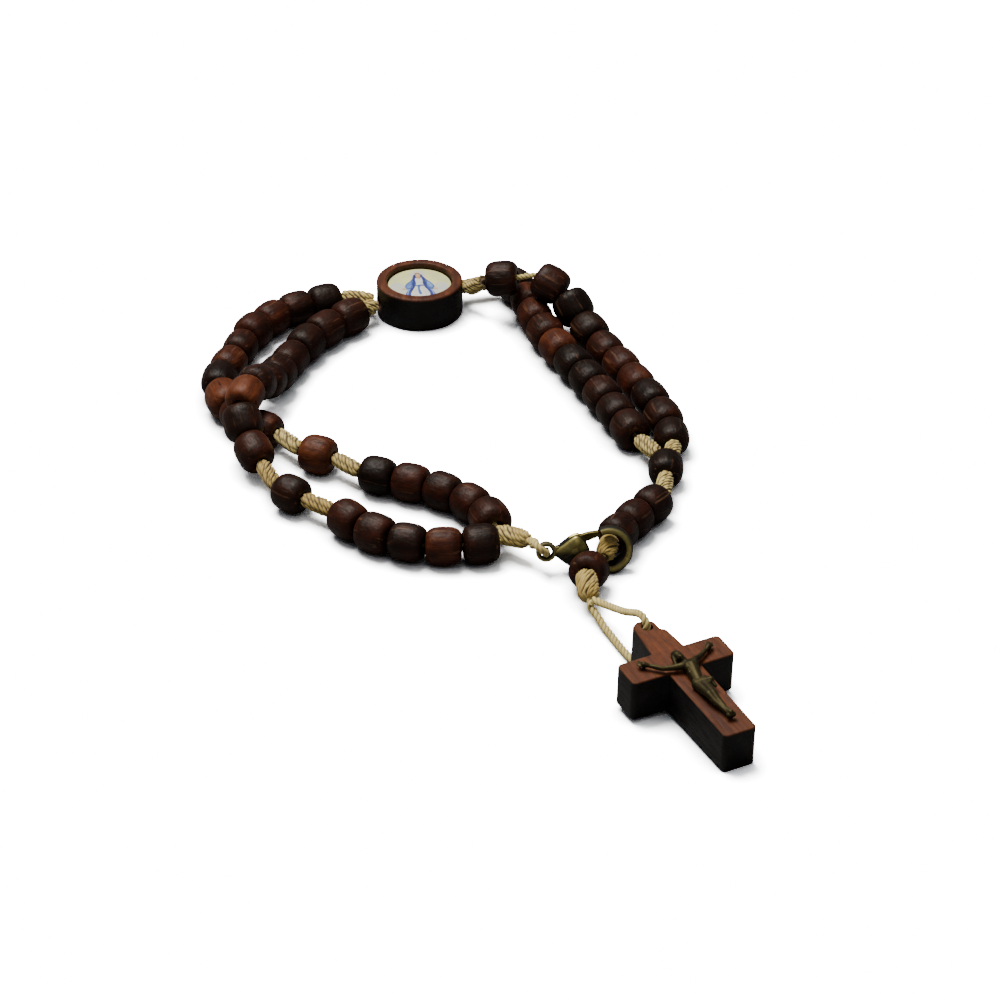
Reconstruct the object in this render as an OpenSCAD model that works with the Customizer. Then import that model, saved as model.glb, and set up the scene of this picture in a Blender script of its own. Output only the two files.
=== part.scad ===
// Rosary bracelet of turned wooden beads, lying closed on a table.
// One long loop of beads is folded double, and its clasp hooks round the tail that ends in the cross.
// The origin is the middle of the footprint on the table, +Z is up and the cross points towards -Y.

/* [Beads] */
// Diameter of a bead
bead_d = 5.9; // [5.5:0.1:6]
// How much the turned beads differ in diameter, as a part of it
bead_spread = 0.04; // [0:0.01:0.05]
// Diameter of the drilled hole
bead_bore_d = 2; // [1.6:0.1:2.2]
// Diameter of the flat land round the hole
bead_face_d = 3; // [2.6:0.1:3.2]
// Length of a bead where the strand is straight
bead_l = 5.3; // [5:0.1:5.3]
// Least gap between one bead and the next
bead_gap = 0.14; // [0.1:0.01:0.2]

/* [Cord] */
// Diameter of the twisted cord
cord_d = 1.1; // [0.8:0.1:1.1]
// Diameter of a wound knot at its middle
knot_d = 2.4; // [2.1:0.1:2.6]
// Diameter of a wound knot at its ends
knot_end_d = 1.5; // [1.4:0.1:1.6]
// Diameter of the thicker knots at the clasp and at the tail's end
thick_knot_d = 2.9; // [2.6:0.1:3]
// Gap between a knot and what it lies against
knot_gap = 0.25; // [0.15:0.05:0.3]

/* [Medal] */
// Diameter of the round wooden frame
medal_d = 14.2; // [13.8:0.1:14.6]
// Height of the frame
medal_h = 5.9; // [5.5:0.1:6]
// Width of the rim round the picture
medal_rim = 1.65; // [1.4:0.05:2]
// Depth of the recess in front of the picture
medal_recess = 1.4; // [1:0.1:1.4]
// Thickness of the picture disc
picture_t = 0.3; // [0.2:0.05:0.4]

/* [Cross] */
// Length of the upright
cross_l = 28; // [27.6:0.1:28.4]
// Length of the crossbar
cross_span = 16.4; // [16:0.1:16.8]
// Width of the upright
cross_w = 5.2; // [5:0.1:5.4]
// Width of the crossbar
cross_bar_w = 5; // [4.8:0.1:5.2]
// Thickness of the wood
cross_t = 6.4; // [6:0.1:6.5]
// Height of the crossbar's lower edge above the foot
cross_arm_y = 15.5; // [15.3:0.1:15.8]
// Diameter of the hole through the head
cross_bore_d = 2; // [1.8:0.1:2.2]

/* [Clasp] */
// Distance from the middle of the eye to the middle of the hook
clasp_reach = 9.3; // [9:0.1:9.6]
// Outer diameter of the hook
hook_d = 6.9; // [6.8:0.1:7]
// Width of the hook's metal, seen from the front
hook_w = 1; // [0.9:0.05:1.1]
// Depth of the hook's metal, from front to back
hook_t = 2; // [1.8:0.1:2.2]
// Outer diameter of the eye
eye_d = 3; // [2.8:0.1:3.2]
// Diameter of the hole in the eye
eye_bore_d = 1.8; // [1.7:0.1:1.9]
// Diameter of the lever's rivet
rivet_d = 0.7; // [0.6:0.05:0.8]

/* [Hidden] */

bead_fn = 40;
fine_fn = 64;
rest_z = bead_d * (1 + bead_spread) / 2;

// The medal lies flat, and both cords cross it in one channel that is drilled at an angle to the picture
medal_at = [-7, 60.1, 0];
channel_z = 2.75;
channel_turn = 17;
channel_d = 2.7;
lane = 0.8;

function along_channel(u, v) = medal_at + [u * cos(channel_turn) - v * sin(channel_turn),
    u * sin(channel_turn) + v * cos(channel_turn), channel_z];
channel_end = medal_d / 2 + 0.35;

// The strung loop, from the junction bead round and back to it, as a row for each run.
// A run goes from the face of its first bead through its way-points to the face of its last one.
RUN_BEADS = 0;
RUN_KNOT_AFTER = 1;
RUN_POINTS = 2;
g = rest_z;
LOOP = [
    // outer right, and its last bead, which lies over the inner strand
    [9, false, [[33.2, 13, g], [32.7, 18.7, g], [30.8, 24.9, g], [26.5, 35.7, g], [22, 45.4, g],
        [19, 51.1, 3.9], [16.4, 53.8, 7.6], [12.2, 55.6, 9.2]]],
    [1, true, [[9.3, 56.5, 8.2], [4, 57.2, 7.5]]],
    // near lane of the medal
    [0, true, [along_channel(channel_end, -lane), along_channel(-channel_end, -lane)]],
    // inner left, which rises over the outer strand
    [10, true, [[-16.2, 54.6, g], [-23, 48, g], [-27.7, 38, g], [-29.5, 32.4, 3.6], [-30.6, 27, 6.1],
        [-32.3, 21.4, 9], [-34, 15.7, 8.3], [-32.5, 10.9, 4.8], [-30.2, 6.6, 3.5]]],
    // left bead, near
    [1, true, [[-27.4, 0.6, g], [-23.2, -2.7, g]]],
    // front, near and far half
    [5, false, [[-18.2, -6.2, g], [-14.3, -10.6, g], [-9.7, -13.6, g], [-4.8, -15.3, g], [0.6, -15.3, g],
        [6.2, -14.4, g]]],
    [5, true, [[5.8, -10.5, g], [4, -5.8, g], [0.4, -1.9, g], [-4.4, 1.1, g], [-14.9, 5.1, g]]],
    // left bead, far
    [1, true, [[-19.2, 9.1, g], [-24.2, 11.2, g]]],
    // outer left, with a little bare cord between its beads at the crossing and the rest
    [3, false, [[-28.2, 16.2, g], [-32.6, 19.2, g], [-36.2, 23.8, g], [-37.9, 28.8, g]]],
    [7, true, [[-38.5, 30.2, g], [-38.2, 35.2, g], [-36.2, 40.5, g], [-34.9, 45.7, g], [-29.6, 54.4, g],
        [-20.2, 59.4, g]]],
    // far lane of the medal
    [0, true, [along_channel(-channel_end, lane), along_channel(channel_end, lane)]],
    // inner right
    [10, true, [[7.3, 65.2, g], [10.4, 61, g], [11.1, 56, g], [14.4, 45.5, g], [18.9, 36, g],
        [23.3, 25.7, g], [27.5, 15, g]]],
];

// The junction bead and the tail, from the double strand to the cross
junction_outer = [32.7, 9.6, g];
junction_inner = [30.8, 9.8, g];
TAIL = [
    [1, true, [[31.8, 9.2, g], [31.6, 3.9, g]]],
    [3, true, [[30.9, -2, g], [27.3, -6.4, g], [24.8, -10.4, g], [22.8, -14.6, 3.8]]],
    [0, false, [[21.6, -18.3, 3], [20.9, -19.1, 2.7]]],
    [1, true, [[19.9, -19.9, 2.3], [18.8, -24.6, 4.15]]],
];
tail_end = [19.3, -29.2, 2.7];

// Cord from the fold of the front run into the clasp's eye; a knot covers its first stretch
TIE = [[6.35, -12.3, 3.1], [11.3, -16.3, 4.5], [11.6, -18.3, 5.2], [12.3, -19.2, 4.9], [13.15, -18.5, 3.75],
    [13.07, -17.1, 3.4]];

// Bare cord from the last knot through the head of the cross and back under it
CROSS_CORD = [[19.8, -29.8, 3.1], [20.7, -30.6, 3.3], [21.9, -32.2, 3.8], [23.1, -34.5, 4.8], [24.3, -37.1, 6.1],
    [25.2, -39, 7.3], [25.9, -40.7, 8.3], [26.5, -42, 8.6], [26.95, -42.95, 8], [27, -43, 6],
    [26.95, -42.9, 3.5], [26.9, -42.8, 1.6], [26.5, -42.3, 0.6], [25.6, -41.6, 0.57], [24.9, -40.7, 0.57],
    [23.7, -38.3, 0.57], [22.2, -34.9, 0.6], [21.3, -33.1, 0.8], [20.5, -31.5, 1.3], [19.4, -29.9, 2]];

function unit(v) = v / norm(v);
function running(values, i = 0, sum = 0) = i == len(values) ? [sum]
    : concat([sum], running(values, i + 1, sum + values[i]));

// A smooth line through a run's way-points, and the evenly spaced joints between its beads
curve_steps = 10;
function curve_point(a, b, c, d, t) = (2 * b + (c - a) * t + (2 * a - 5 * b + 4 * c - d) * t * t
    + (3 * b - a - 3 * c + d) * t * t * t) / 2;
function smooth(points) = let (
        last = len(points) - 1,
        ends = concat([2 * points[0] - points[1]], points, [2 * points[last] - points[last - 1]]))
    concat([for (i = [0:last - 1], s = [0:curve_steps - 1])
        curve_point(ends[i], ends[i + 1], ends[i + 2], ends[i + 3], s / curve_steps)], [points[last]]);
function at_length(line, along, l, i = 0) = i >= len(line) - 2 || along[i + 1] >= l
    ? line[i] + (line[i + 1] - line[i]) * (l - along[i]) / (along[i + 1] - along[i])
    : at_length(line, along, l, i + 1);
function joints(points, count) = let (
        line = smooth(points),
        along = running([for (i = [0:len(line) - 2]) norm(line[i + 1] - line[i])]),
        total = along[len(along) - 1])
    [for (i = [0:count]) at_length(line, along, total * i / count)];
function run_joints(run) = run[RUN_BEADS] == 0 ? run[RUN_POINTS] : joints(run[RUN_POINTS], run[RUN_BEADS]);

// How far a bead's end stands back from a joint, so that a bent strand's beads stay clear
function set_back(before, joint, after) = let (
        turn = acos(min(1, unit(joint - before) * unit(after - joint))))
    bead_gap / 2 + (bead_face_d / 2 + 0.2) * tan(turn / 2);
size_step = 137;
function bead_size(i) = bead_d * (1 + bead_spread * sin(size_step * i));

module along_line(a, b) {
    v = b - a;
    translate(a) rotate([0, acos(v[2] / norm(v)), atan2(v[1], v[0])]) children();
}

// A turned bead, round-shouldered and drilled, that lies between two joints
module bead(a, b, back_a, back_b, d) {
    room = norm(b - a) - back_a - back_b;
    l = min(bead_l, room);
    shoulder = 2.4;
    outline = [for (t = [0:22.5:180]) [
        bead_face_d / 2 + (d - bead_face_d) / 2 * pow(sin(t), 2 / shoulder),
        -l / 2 * sign(cos(t)) * pow(abs(cos(t)), 2 / shoulder)]];
    along_line(a, b) translate([0, 0, back_a + room / 2]) rotate_extrude($fn = bead_fn)
        polygon(concat([[bead_bore_d / 2, -l / 2]], outline, [[bead_bore_d / 2, l / 2]]));
}

module strung_run(run, seed) {
    at = run_joints(run);
    last = len(at) - 1;
    if (run[RUN_BEADS] > 0)
        for (i = [0:last - 1])
            bead(at[i], at[i + 1],
                i == 0 ? bead_gap / 2 : set_back(at[i - 1], at[i], at[i + 1]),
                i == last - 1 ? bead_gap / 2 : set_back(at[i], at[i + 1], at[i + 2]),
                bead_size(seed + i));
}

module loop_beads() {
    color("#4a2416") for (r = [0:len(LOOP) - 1]) strung_run(LOOP[r], 11 * r);
}

module tail_beads() {
    color("#3f1e14") for (r = [0:len(TAIL) - 1]) strung_run(TAIL[r], 5 * r + 3);
}

// A tube round a line of points, as one solid with a ring at each point
tube_sides = 8;
function tube_frame(points, i) = let (
        last = len(points) - 1,
        ahead = unit(points[min(last, i + 1)] - points[max(0, i - 1)]),
        side = unit(cross([0, 0, 1], abs(ahead[2]) > 0.95 ? [1, 0, 0] : ahead)))
    [side, cross(ahead, side)];
module tube(points, d) {
    n = tube_sides;
    last = len(points) - 1;
    rings = [for (i = [0:last]) let (f = tube_frame(points, i)) for (k = [0:n - 1])
        points[i] + d / 2 * (cos(360 * k / n) * f[0] + sin(360 * k / n) * f[1])];
    walls = [for (i = [0:last - 1], k = [0:n - 1])
        [i * n + k, (i + 1) * n + k, (i + 1) * n + (k + 1) % n, i * n + (k + 1) % n]];
    polyhedron(rings, concat([[for (k = [0:n - 1]) k]], walls, [[for (k = [n - 1:-1:0]) last * n + k]]));
}

function strand_line(runs) = [for (run = runs) each run_joints(run)];
function ahead_of(from, joint) = joint + stub * unit(joint - from);

// The loop's cord stops short of the clasp's knot on both sides
FOLD_RUN = 5;
stub = 0.3;
module thread() {
    first = strand_line([for (r = [0:FOLD_RUN]) LOOP[r]]);
    second = strand_line([for (r = [FOLD_RUN + 1:len(LOOP) - 1]) LOOP[r]]);
    color("#d9cba4") {
        tube(concat([junction_outer], first, [ahead_of(at(first, -2), at(first, -1))]), cord_d);
        tube(concat([ahead_of(second[1], second[0])], second, [junction_inner]), cord_d);
    }
}

module tail_thread() {
    line = strand_line(TAIL);
    color("#d9cba4") tube(concat(line, [at(line, -1) + 0.8 * (tail_end - at(line, -1))]), cord_d);
}

module clasp_tie() {
    color("#d9cba4") tube(TIE, cord_d);
}

module cross_cord() {
    color("#d9cba4") tube(smooth_cord(CROSS_CORD), cord_d);
}
function smooth_cord(points) = let (line = smooth(points))
    [for (i = [0:5:len(line) - 1]) line[i]];

// A wound knot from a to b, with the cord's way through it.
// Where the cord bends at its end, towards before or after, it stands back from the face there.
function knot_back(far, near, next) = knot_gap + knot_d * tan(acos(min(1, unit(near - far) * unit(next - near))) / 2);
module knot(before, a, b, after, d = knot_d) {
    back_a = knot_back(b, a, before);
    l = norm(b - a) - back_a - knot_back(a, b, after);
    way_r = cord_d / 2 + 0.12;
    outline = [for (t = [0:0.125:1]) [
        knot_end_d / 2 + (d - knot_end_d) / 2 * pow(sin(180 * t), 0.6), l * (t - 0.5)]];
    along_line(a, b) translate([0, 0, l / 2 + back_a]) rotate_extrude($fn = bead_fn)
        polygon(concat([[way_r, -l / 2]], outline, [[way_r, l / 2]]));
}

module knots() {
    loop = [for (run = LOOP) run_joints(run)];
    tail = [for (run = TAIL) run_joints(run)];
    color("#cdbd92") {
        knot(junction_outer - [0, 1, 0], junction_outer, loop[0][0], loop[0][1]);
        for (r = [0:len(LOOP) - 2]) if (LOOP[r][RUN_KNOT_AFTER])
            knot(at(loop[r], -2), at(loop[r], -1), loop[r + 1][0], loop[r + 1][1]);
        knot(at(at(loop, -1), -2), at(at(loop, -1), -1), junction_inner, junction_inner - [0, 1, 0]);
        for (r = [0:len(TAIL) - 2]) if (TAIL[r][RUN_KNOT_AFTER])
            knot(at(tail[r], -2), at(tail[r], -1), tail[r + 1][0], tail[r + 1][1], r == 0 ? knot_d : thick_knot_d);
        knot(at(at(tail, -1), -2), at(at(tail, -1), -1), tail_end, 2 * tail_end - at(at(tail, -1), -1), thick_knot_d);
        knot(2 * TIE[0] - TIE[1], TIE[0], TIE[1], TIE[2], thick_knot_d);
    }
}
function at(list, from_end) = list[len(list) + from_end];

// A turned wooden ring with a floor: soft outer edges, a recess for the picture and the cord channel
module medal_frame() {
    r = medal_d / 2;
    inner = r - medal_rim;
    soft = 0.6;
    floor_z = medal_h - medal_recess;
    edge = [for (t = [0:22.5:90]) [r - soft + soft * cos(t), medal_h - soft + soft * sin(t)]];
    lip = [for (t = [90:22.5:180]) [inner + soft / 2 + soft / 2 * cos(t), medal_h - soft / 2 + soft / 2 * sin(t)]];
    color("#5a2a18") difference() {
        translate(medal_at) rotate_extrude($fn = fine_fn)
            polygon(concat([[0, 0], [r - soft / 2, 0], [r, soft / 2]], edge, lip, [[inner, floor_z], [0, floor_z]]));
        translate(medal_at + [0, 0, channel_z]) rotate([0, 90, channel_turn])
            cylinder(h = medal_d * 1.2, d = channel_d, center = true, $fn = bead_fn);
    }
}

module medal_picture() {
    color("#dfe0c4") translate(medal_at + [0, 0, medal_h - medal_recess + 0.1])
        cylinder(h = picture_t, r = medal_d / 2 - medal_rim - 0.15, $fn = fine_fn);
}

// The cross lies on its back, its foot on the table and its head raised on the cord below it.
// Its own frame has the middle of the foot's end as origin, +Y to the head and +Z out of the front.
cross_foot = [39, -66.1, 0];
cross_turn = 27.3;
cross_lift = 2.6;
module on_cross() {
    translate(cross_foot) rotate([0, 0, cross_turn]) rotate([cross_lift, 0, 0]) children();
}

function rounded(points, r, steps = 3) = [for (i = [0:len(points) - 1]) let (
        n = len(points),
        p = points[i],
        a = p + r * unit(points[(i + n - 1) % n] - p),
        b = p + r * unit(points[(i + 1) % n] - p))
    for (s = [0:steps]) let (t = s / steps) (1 - t) * (1 - t) * a + 2 * t * (1 - t) * p + t * t * b];

module cross_outline() {
    w = cross_w / 2;
    s = cross_span / 2;
    top = cross_arm_y + cross_bar_w;
    // the head is a little worn, with a step at its right side and cut corners
    head = [[w, top], [w - 0.4, cross_l - 3.1], [w - 1.1, cross_l - 2.7], [w - 1.1, cross_l - 0.9],
        [w - 1.9, cross_l - 0.1], [1.8 - w, cross_l], [0.7 - w, cross_l - 0.7], [-w, top]];
    polygon(rounded(concat([[-w, 0], [w, 0], [w, cross_arm_y], [s, cross_arm_y], [s, top]], head,
        [[-s, top], [-s, cross_arm_y], [-w, cross_arm_y]]), 0.3));
}

hole_at = [0, cross_l - 1.7];
module cross() {
    color("#6b3018") on_cross() difference() {
        linear_extrude(cross_t) cross_outline();
        translate([hole_at[0], hole_at[1], -1]) cylinder(h = cross_t + 2, d = cross_bore_d, $fn = bead_fn);
    }
}

// The cast figure, in the cross's frame: a row for each limb, from one round end to the other
LIMB_FROM = 0;
LIMB_TO = 1;
LIMB_R1 = 2;
LIMB_R2 = 3;
figure_z = 0.75;
LIMBS = [
    // chest, shoulders and hips
    [[0.3, 14.8, 0.5], [-0.25, 11.6, 0.3], 1.2, 0.92],
    [[-0.7, 15.2, 0.4], [1.45, 15.5, 0.4], 0.66, 0.66],
    // loincloth with its knot at the side
    [[-0.75, 10.8, 0.3], [0.55, 10.8, 0.35], 0.88, 0.88],
    [[0.95, 10.6, 0.5], [1.2, 9.6, 0.4], 0.5, 0.35],
    // thighs, shins and crossed feet
    [[-0.7, 10.3, 0.3], [-0.8, 7.5, 0.9], 0.78, 0.58],
    [[0.3, 10.3, 0.3], [-0.2, 7.5, 0.9], 0.78, 0.58],
    [[-0.8, 7.5, 0.9], [-0.25, 4.8, 0.4], 0.56, 0.42],
    [[-0.2, 7.5, 0.9], [0, 4.7, 0.5], 0.56, 0.42],
    [[0, 4.8, 0.3], [0.05, 3.2, 0.4], 0.5, 0.45],
    // upper arms, forearms and hands
    [[-0.85, 15.3, 0.4], [-3.2, 16.1, 0.4], 0.58, 0.42],
    [[-3.2, 16.1, 0.4], [-4.7, 17.6, 0.5], 0.42, 0.36],
    [[-4.7, 17.6, 0.5], [-5.5, 18.2, 0.5], 0.4, 0.42],
    [[1.6, 15.7, 0.4], [3.2, 16.6, 0.4], 0.56, 0.42],
    [[3.2, 16.6, 0.4], [4.5, 17.4, 0.5], 0.42, 0.34],
    [[4.5, 17.4, 0.5], [5.3, 18, 0.5], 0.38, 0.42],
    // neck, and the head, which leans to one side
    [[0.2, 15.4, 0.6], [-0.2, 16.2, 0.9], 0.5, 0.5],
    [[-0.45, 16.7, 0.9], [-0.35, 17.5, 0.85], 0.88, 0.92],
];
module corpus() {
    limb_fn = 10;
    color("#7a6a3c") on_cross() translate([0, 0, cross_t + 0.1]) intersection() {
        translate([-10, 0, 0]) cube([20, cross_l, 5]);
        translate([0, 0, figure_z - 0.35]) for (l = LIMBS) hull() {
            translate(l[LIMB_FROM]) sphere(l[LIMB_R1], $fn = limb_fn);
            translate(l[LIMB_TO]) sphere(l[LIMB_R2], $fn = limb_fn);
        }
    }
}

// The clasp stands on its lower edge and leans back a little.
// Its own frame has the middle of the eye as origin, +X to the hook, +Y up its face and +Z out of the front.
clasp_at = [13.1, -17.6, 3.5];
clasp_turn = 3.5;
clasp_lean = 76;
module on_clasp() {
    translate(clasp_at) rotate([0, 0, clasp_turn]) rotate([clasp_lean, 0, 0]) children();
}

body_t = 2.4;
slot_t = 1.1;
lever_t = 0.9;
pivot = [4.7, 1.5];
rivet_clearance = 0.05;
lever_tip = [7.35, 2.75];
hook_tip_angle = 113;
hook_start_angle = 234;
module plate(points, t) {
    translate([0, 0, -t / 2]) linear_extrude(t) polygon(points);
}

module clasp_body() {
    neck = [1.3, 0.55];
    shell = rounded([[neck[0], -neck[1]], [neck[0], neck[1]], [3.4, 2.3], [4.7, 2.6], [5.6, 1.6], [6.1, 0],
        [6.2, -1.3], [5.2, -2.8], [3.6, -2.3]], 0.5);
    bar = [[4.6, -2.75], [6, -1.55], [7.9, -2.25], [7.3, -3.1]];
    color("#8a7a3e") on_clasp() difference() {
        union() {
            difference() {
                union() {
                    translate([0, 0, -0.65]) cylinder(h = 1.3, d = eye_d, $fn = bead_fn);
                    plate([[0.9, -0.55], [0.9, 0.55], [1.9, 0.75], [1.9, -0.75]], 1.3);
                    plate(shell, body_t);
                    plate(bar, hook_t);
                    translate([clasp_reach, 0.2, 0]) rotate([0, 0, hook_start_angle])
                        rotate_extrude(angle = 360 - hook_start_angle + hook_tip_angle, $fn = fine_fn)
                        translate([hook_d / 2 - hook_w, -hook_t / 2]) square([hook_w, hook_t]);
                }
                plate([[3.2, 0.5], [3.2, 4], [8, 4], [8, 2.3], [7, -0.2], [5.3, -0.3]], slot_t);
            }
            translate([pivot[0], pivot[1], -body_t / 2]) cylinder(h = body_t, d = rivet_d, $fn = 24);
        }
        cylinder(h = 4, d = eye_bore_d, center = true, $fn = bead_fn);
    }
}

module clasp_lever() {
    v = unit(lever_tip - pivot);
    across = [-v[1], v[0]];
    color("#5c5230") on_clasp() difference() {
        union() {
            translate([pivot[0], pivot[1], -lever_t / 2]) cylinder(h = lever_t, r = 0.75, $fn = 32);
            plate([pivot - 0.7 * across, lever_tip - 0.42 * across + 0.4 * v, lever_tip + 0.42 * across + 0.2 * v,
                pivot + 0.72 * across], lever_t);
        }
        translate([pivot[0], pivot[1], 0])
            cylinder(h = 3, d = rivet_d + 2 * rivet_clearance, center = true, $fn = 24);
    }
}

loop_beads();
tail_beads();
thread();
tail_thread();
clasp_tie();
cross_cord();
knots();
medal_frame();
medal_picture();
cross();
corpus();
clasp_body();
clasp_lever();
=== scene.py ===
"""A rosary bracelet of turned wooden beads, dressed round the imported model, in metres.

The classes below build one sub-assembly each. Their sizes are in millimetres, which turn into metres where
a mesh is made.
"""

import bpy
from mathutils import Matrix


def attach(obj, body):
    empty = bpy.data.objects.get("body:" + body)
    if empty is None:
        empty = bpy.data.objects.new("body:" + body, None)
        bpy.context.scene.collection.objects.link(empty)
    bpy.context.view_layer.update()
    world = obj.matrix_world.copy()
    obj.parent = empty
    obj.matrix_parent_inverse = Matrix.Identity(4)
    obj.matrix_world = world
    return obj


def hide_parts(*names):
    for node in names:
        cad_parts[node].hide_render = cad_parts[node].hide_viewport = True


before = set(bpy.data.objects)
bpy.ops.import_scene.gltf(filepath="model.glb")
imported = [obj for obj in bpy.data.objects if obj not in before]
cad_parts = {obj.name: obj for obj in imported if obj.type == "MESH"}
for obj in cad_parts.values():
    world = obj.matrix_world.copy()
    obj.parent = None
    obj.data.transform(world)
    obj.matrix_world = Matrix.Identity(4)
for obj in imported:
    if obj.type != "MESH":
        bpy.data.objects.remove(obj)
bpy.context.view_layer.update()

import logging
import math
from dataclasses import dataclass, field
from enum import Enum
from typing import Dict, Iterable, List, NamedTuple, Optional, Sequence, Tuple

import bmesh
import bpy
import numpy as np
from mathutils import Matrix, Vector, noise

log = logging.getLogger("bracelet")

MM = 0.001

Point = Tuple[float, float, float]
Colour = Tuple[float, float, float, float]
Flat = Tuple[float, float]


class Body(Enum):
    """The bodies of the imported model."""

    BRACELET = "bracelet"
    LEVER = "lever"


class Slot(Enum):
    """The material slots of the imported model."""

    BEADS = "bead_wood"
    CORD = "cord"
    METAL = "bronze"
    MEDAL = "medal_wood"
    PICTURE = "picture"
    CROSS = "cross_wood"


def hand_in(piece: bpy.types.Object, slot: Slot, body: Body, *nodes: str) -> None:
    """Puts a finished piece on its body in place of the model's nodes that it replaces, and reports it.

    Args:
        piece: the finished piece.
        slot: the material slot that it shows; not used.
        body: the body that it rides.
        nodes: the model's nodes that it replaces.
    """
    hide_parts(*nodes)
    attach(piece, body.value)
    log.info("%s: %d faces", piece.name, len(piece.data.polygons))


# Node helpers


class Nodes:
    """A node tree with short ways to add and join nodes."""

    def __init__(self, tree: bpy.types.NodeTree) -> None:
        """Keeps the tree that the nodes go into."""
        self.tree = tree

    def add(self, kind: str, **values: object) -> bpy.types.Node:
        """Adds a node.

        Args:
            kind: the node's type name.
            values: properties of the node, or names of its inputs with spaces written as underscores.
        Returns:
            The new node.
        """
        node = self.tree.nodes.new(kind)
        for name, value in values.items():
            if hasattr(node, name):
                setattr(node, name, value)
            else:
                self.feed(node, **{name: value})
        return node

    def put(self, socket: bpy.types.NodeSocket, value: object) -> None:
        """Links an output to the socket, or sets the socket's value."""
        if isinstance(value, bpy.types.NodeSocket):
            self.tree.links.new(value, socket)
        else:
            socket.default_value = value

    def feed(self, node: bpy.types.Node, **values: object) -> None:
        """Links or sets inputs of a node, with the spaces of their names written as underscores."""
        for name, value in values.items():
            self.put(node.inputs[name.replace("_", " ")], value)

    def attribute(self, name: str, output: str = "Fac") -> bpy.types.NodeSocket:
        """Reads an attribute of the mesh and returns that output of it."""
        return self.add("ShaderNodeAttribute", attribute_name=name).outputs[output]

    def group(self, tree: bpy.types.NodeTree, place: object, **values: object) -> bpy.types.Node:
        """Adds a node group at a place on the surface, with its own values."""
        return self.add("ShaderNodeGroup", node_tree=tree, Place=place, **values)

    def math(self, operation: str, a: object, b: object = 0.0, clamp: bool = False) -> bpy.types.NodeSocket:
        """Adds a Math node and returns its output."""
        node = self.tree.nodes.new("ShaderNodeMath")
        node.operation = operation
        node.use_clamp = clamp
        self.put(node.inputs[0], a)
        self.put(node.inputs[1], b)
        return node.outputs[0]

    def mix(self, factor: object, a: object, b: object) -> bpy.types.NodeSocket:
        """Adds a colour Mix node and returns its output."""
        node = self.tree.nodes.new("ShaderNodeMix")
        node.data_type = "RGBA"
        self.put(node.inputs[0], factor)
        self.put(node.inputs[6], a)
        self.put(node.inputs[7], b)
        return node.outputs[2]

    def tint(self, colour: object, mask: object, strength: float, other: object) -> bpy.types.NodeSocket:
        """Mixes another colour in where the mask lies, up to the strength."""
        return self.mix(self.math("MULTIPLY", mask, strength), colour, other)

    def sway(self, value: object, size: float) -> bpy.types.NodeSocket:
        """Turns a value from 0 to 1 into one that sways evenly about 0, with that size from end to end."""
        return self.math("MULTIPLY", self.math("SUBTRACT", value, 0.5), size)

    def spread(self, value: object, low: float, high: float, to_low: float = 0.0, to_high: float = 1.0
               ) -> bpy.types.NodeSocket:
        """Adds a Map Range node that clamps, and returns its output."""
        node = self.tree.nodes.new("ShaderNodeMapRange")
        self.put(node.inputs[0], value)
        for index, number in enumerate((low, high, to_low, to_high)):
            node.inputs[index + 1].default_value = number
        return node.outputs[0]

    def noise(self, place: object, scale: object, detail: float = 3.0, roughness: float = 0.55
              ) -> bpy.types.NodeSocket:
        """Adds a Noise Texture and returns its value."""
        node = self.add("ShaderNodeTexNoise", Vector=place, Scale=scale, Detail=detail, Roughness=roughness)
        return node.outputs["Fac"]

    def ramp(self, factor: object, stops: Sequence[Tuple[float, Colour]]) -> bpy.types.NodeSocket:
        """Adds a colour ramp and returns its colour."""
        node = self.tree.nodes.new("ShaderNodeValToRGB")
        band = node.color_ramp
        while len(band.elements) < len(stops):
            band.elements.new(1.0)
        for element, (place, colour) in zip(band.elements, stops):
            element.position = place
            element.color = colour
        self.put(node.inputs[0], factor)
        return node.outputs[0]


GroupParts = Tuple[bpy.types.NodeTree, Nodes, bpy.types.Node, bpy.types.Node]


def new_group(name: str, inputs: Dict[str, Optional[float]], outputs: Sequence[str]) -> GroupParts:
    """Makes a shader node group with named sockets.

    Args:
        name: the group's name.
        inputs: the default of each input, a number or None for a vector.
        outputs: the names of the outputs, which are numbers.
    Returns:
        The group, its node helper, its input node and its output node.
    """
    tree = bpy.data.node_groups.new(name, "ShaderNodeTree")
    for key, value in inputs.items():
        kind = "NodeSocketVector" if value is None else "NodeSocketFloat"
        socket = tree.interface.new_socket(name=key, in_out="INPUT", socket_type=kind)
        if value is not None:
            socket.default_value = value
    for key in outputs:
        tree.interface.new_socket(name=key, in_out="OUTPUT", socket_type="NodeSocketFloat")
    nodes = Nodes(tree)
    return tree, nodes, nodes.add("NodeGroupInput"), nodes.add("NodeGroupOutput")


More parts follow.
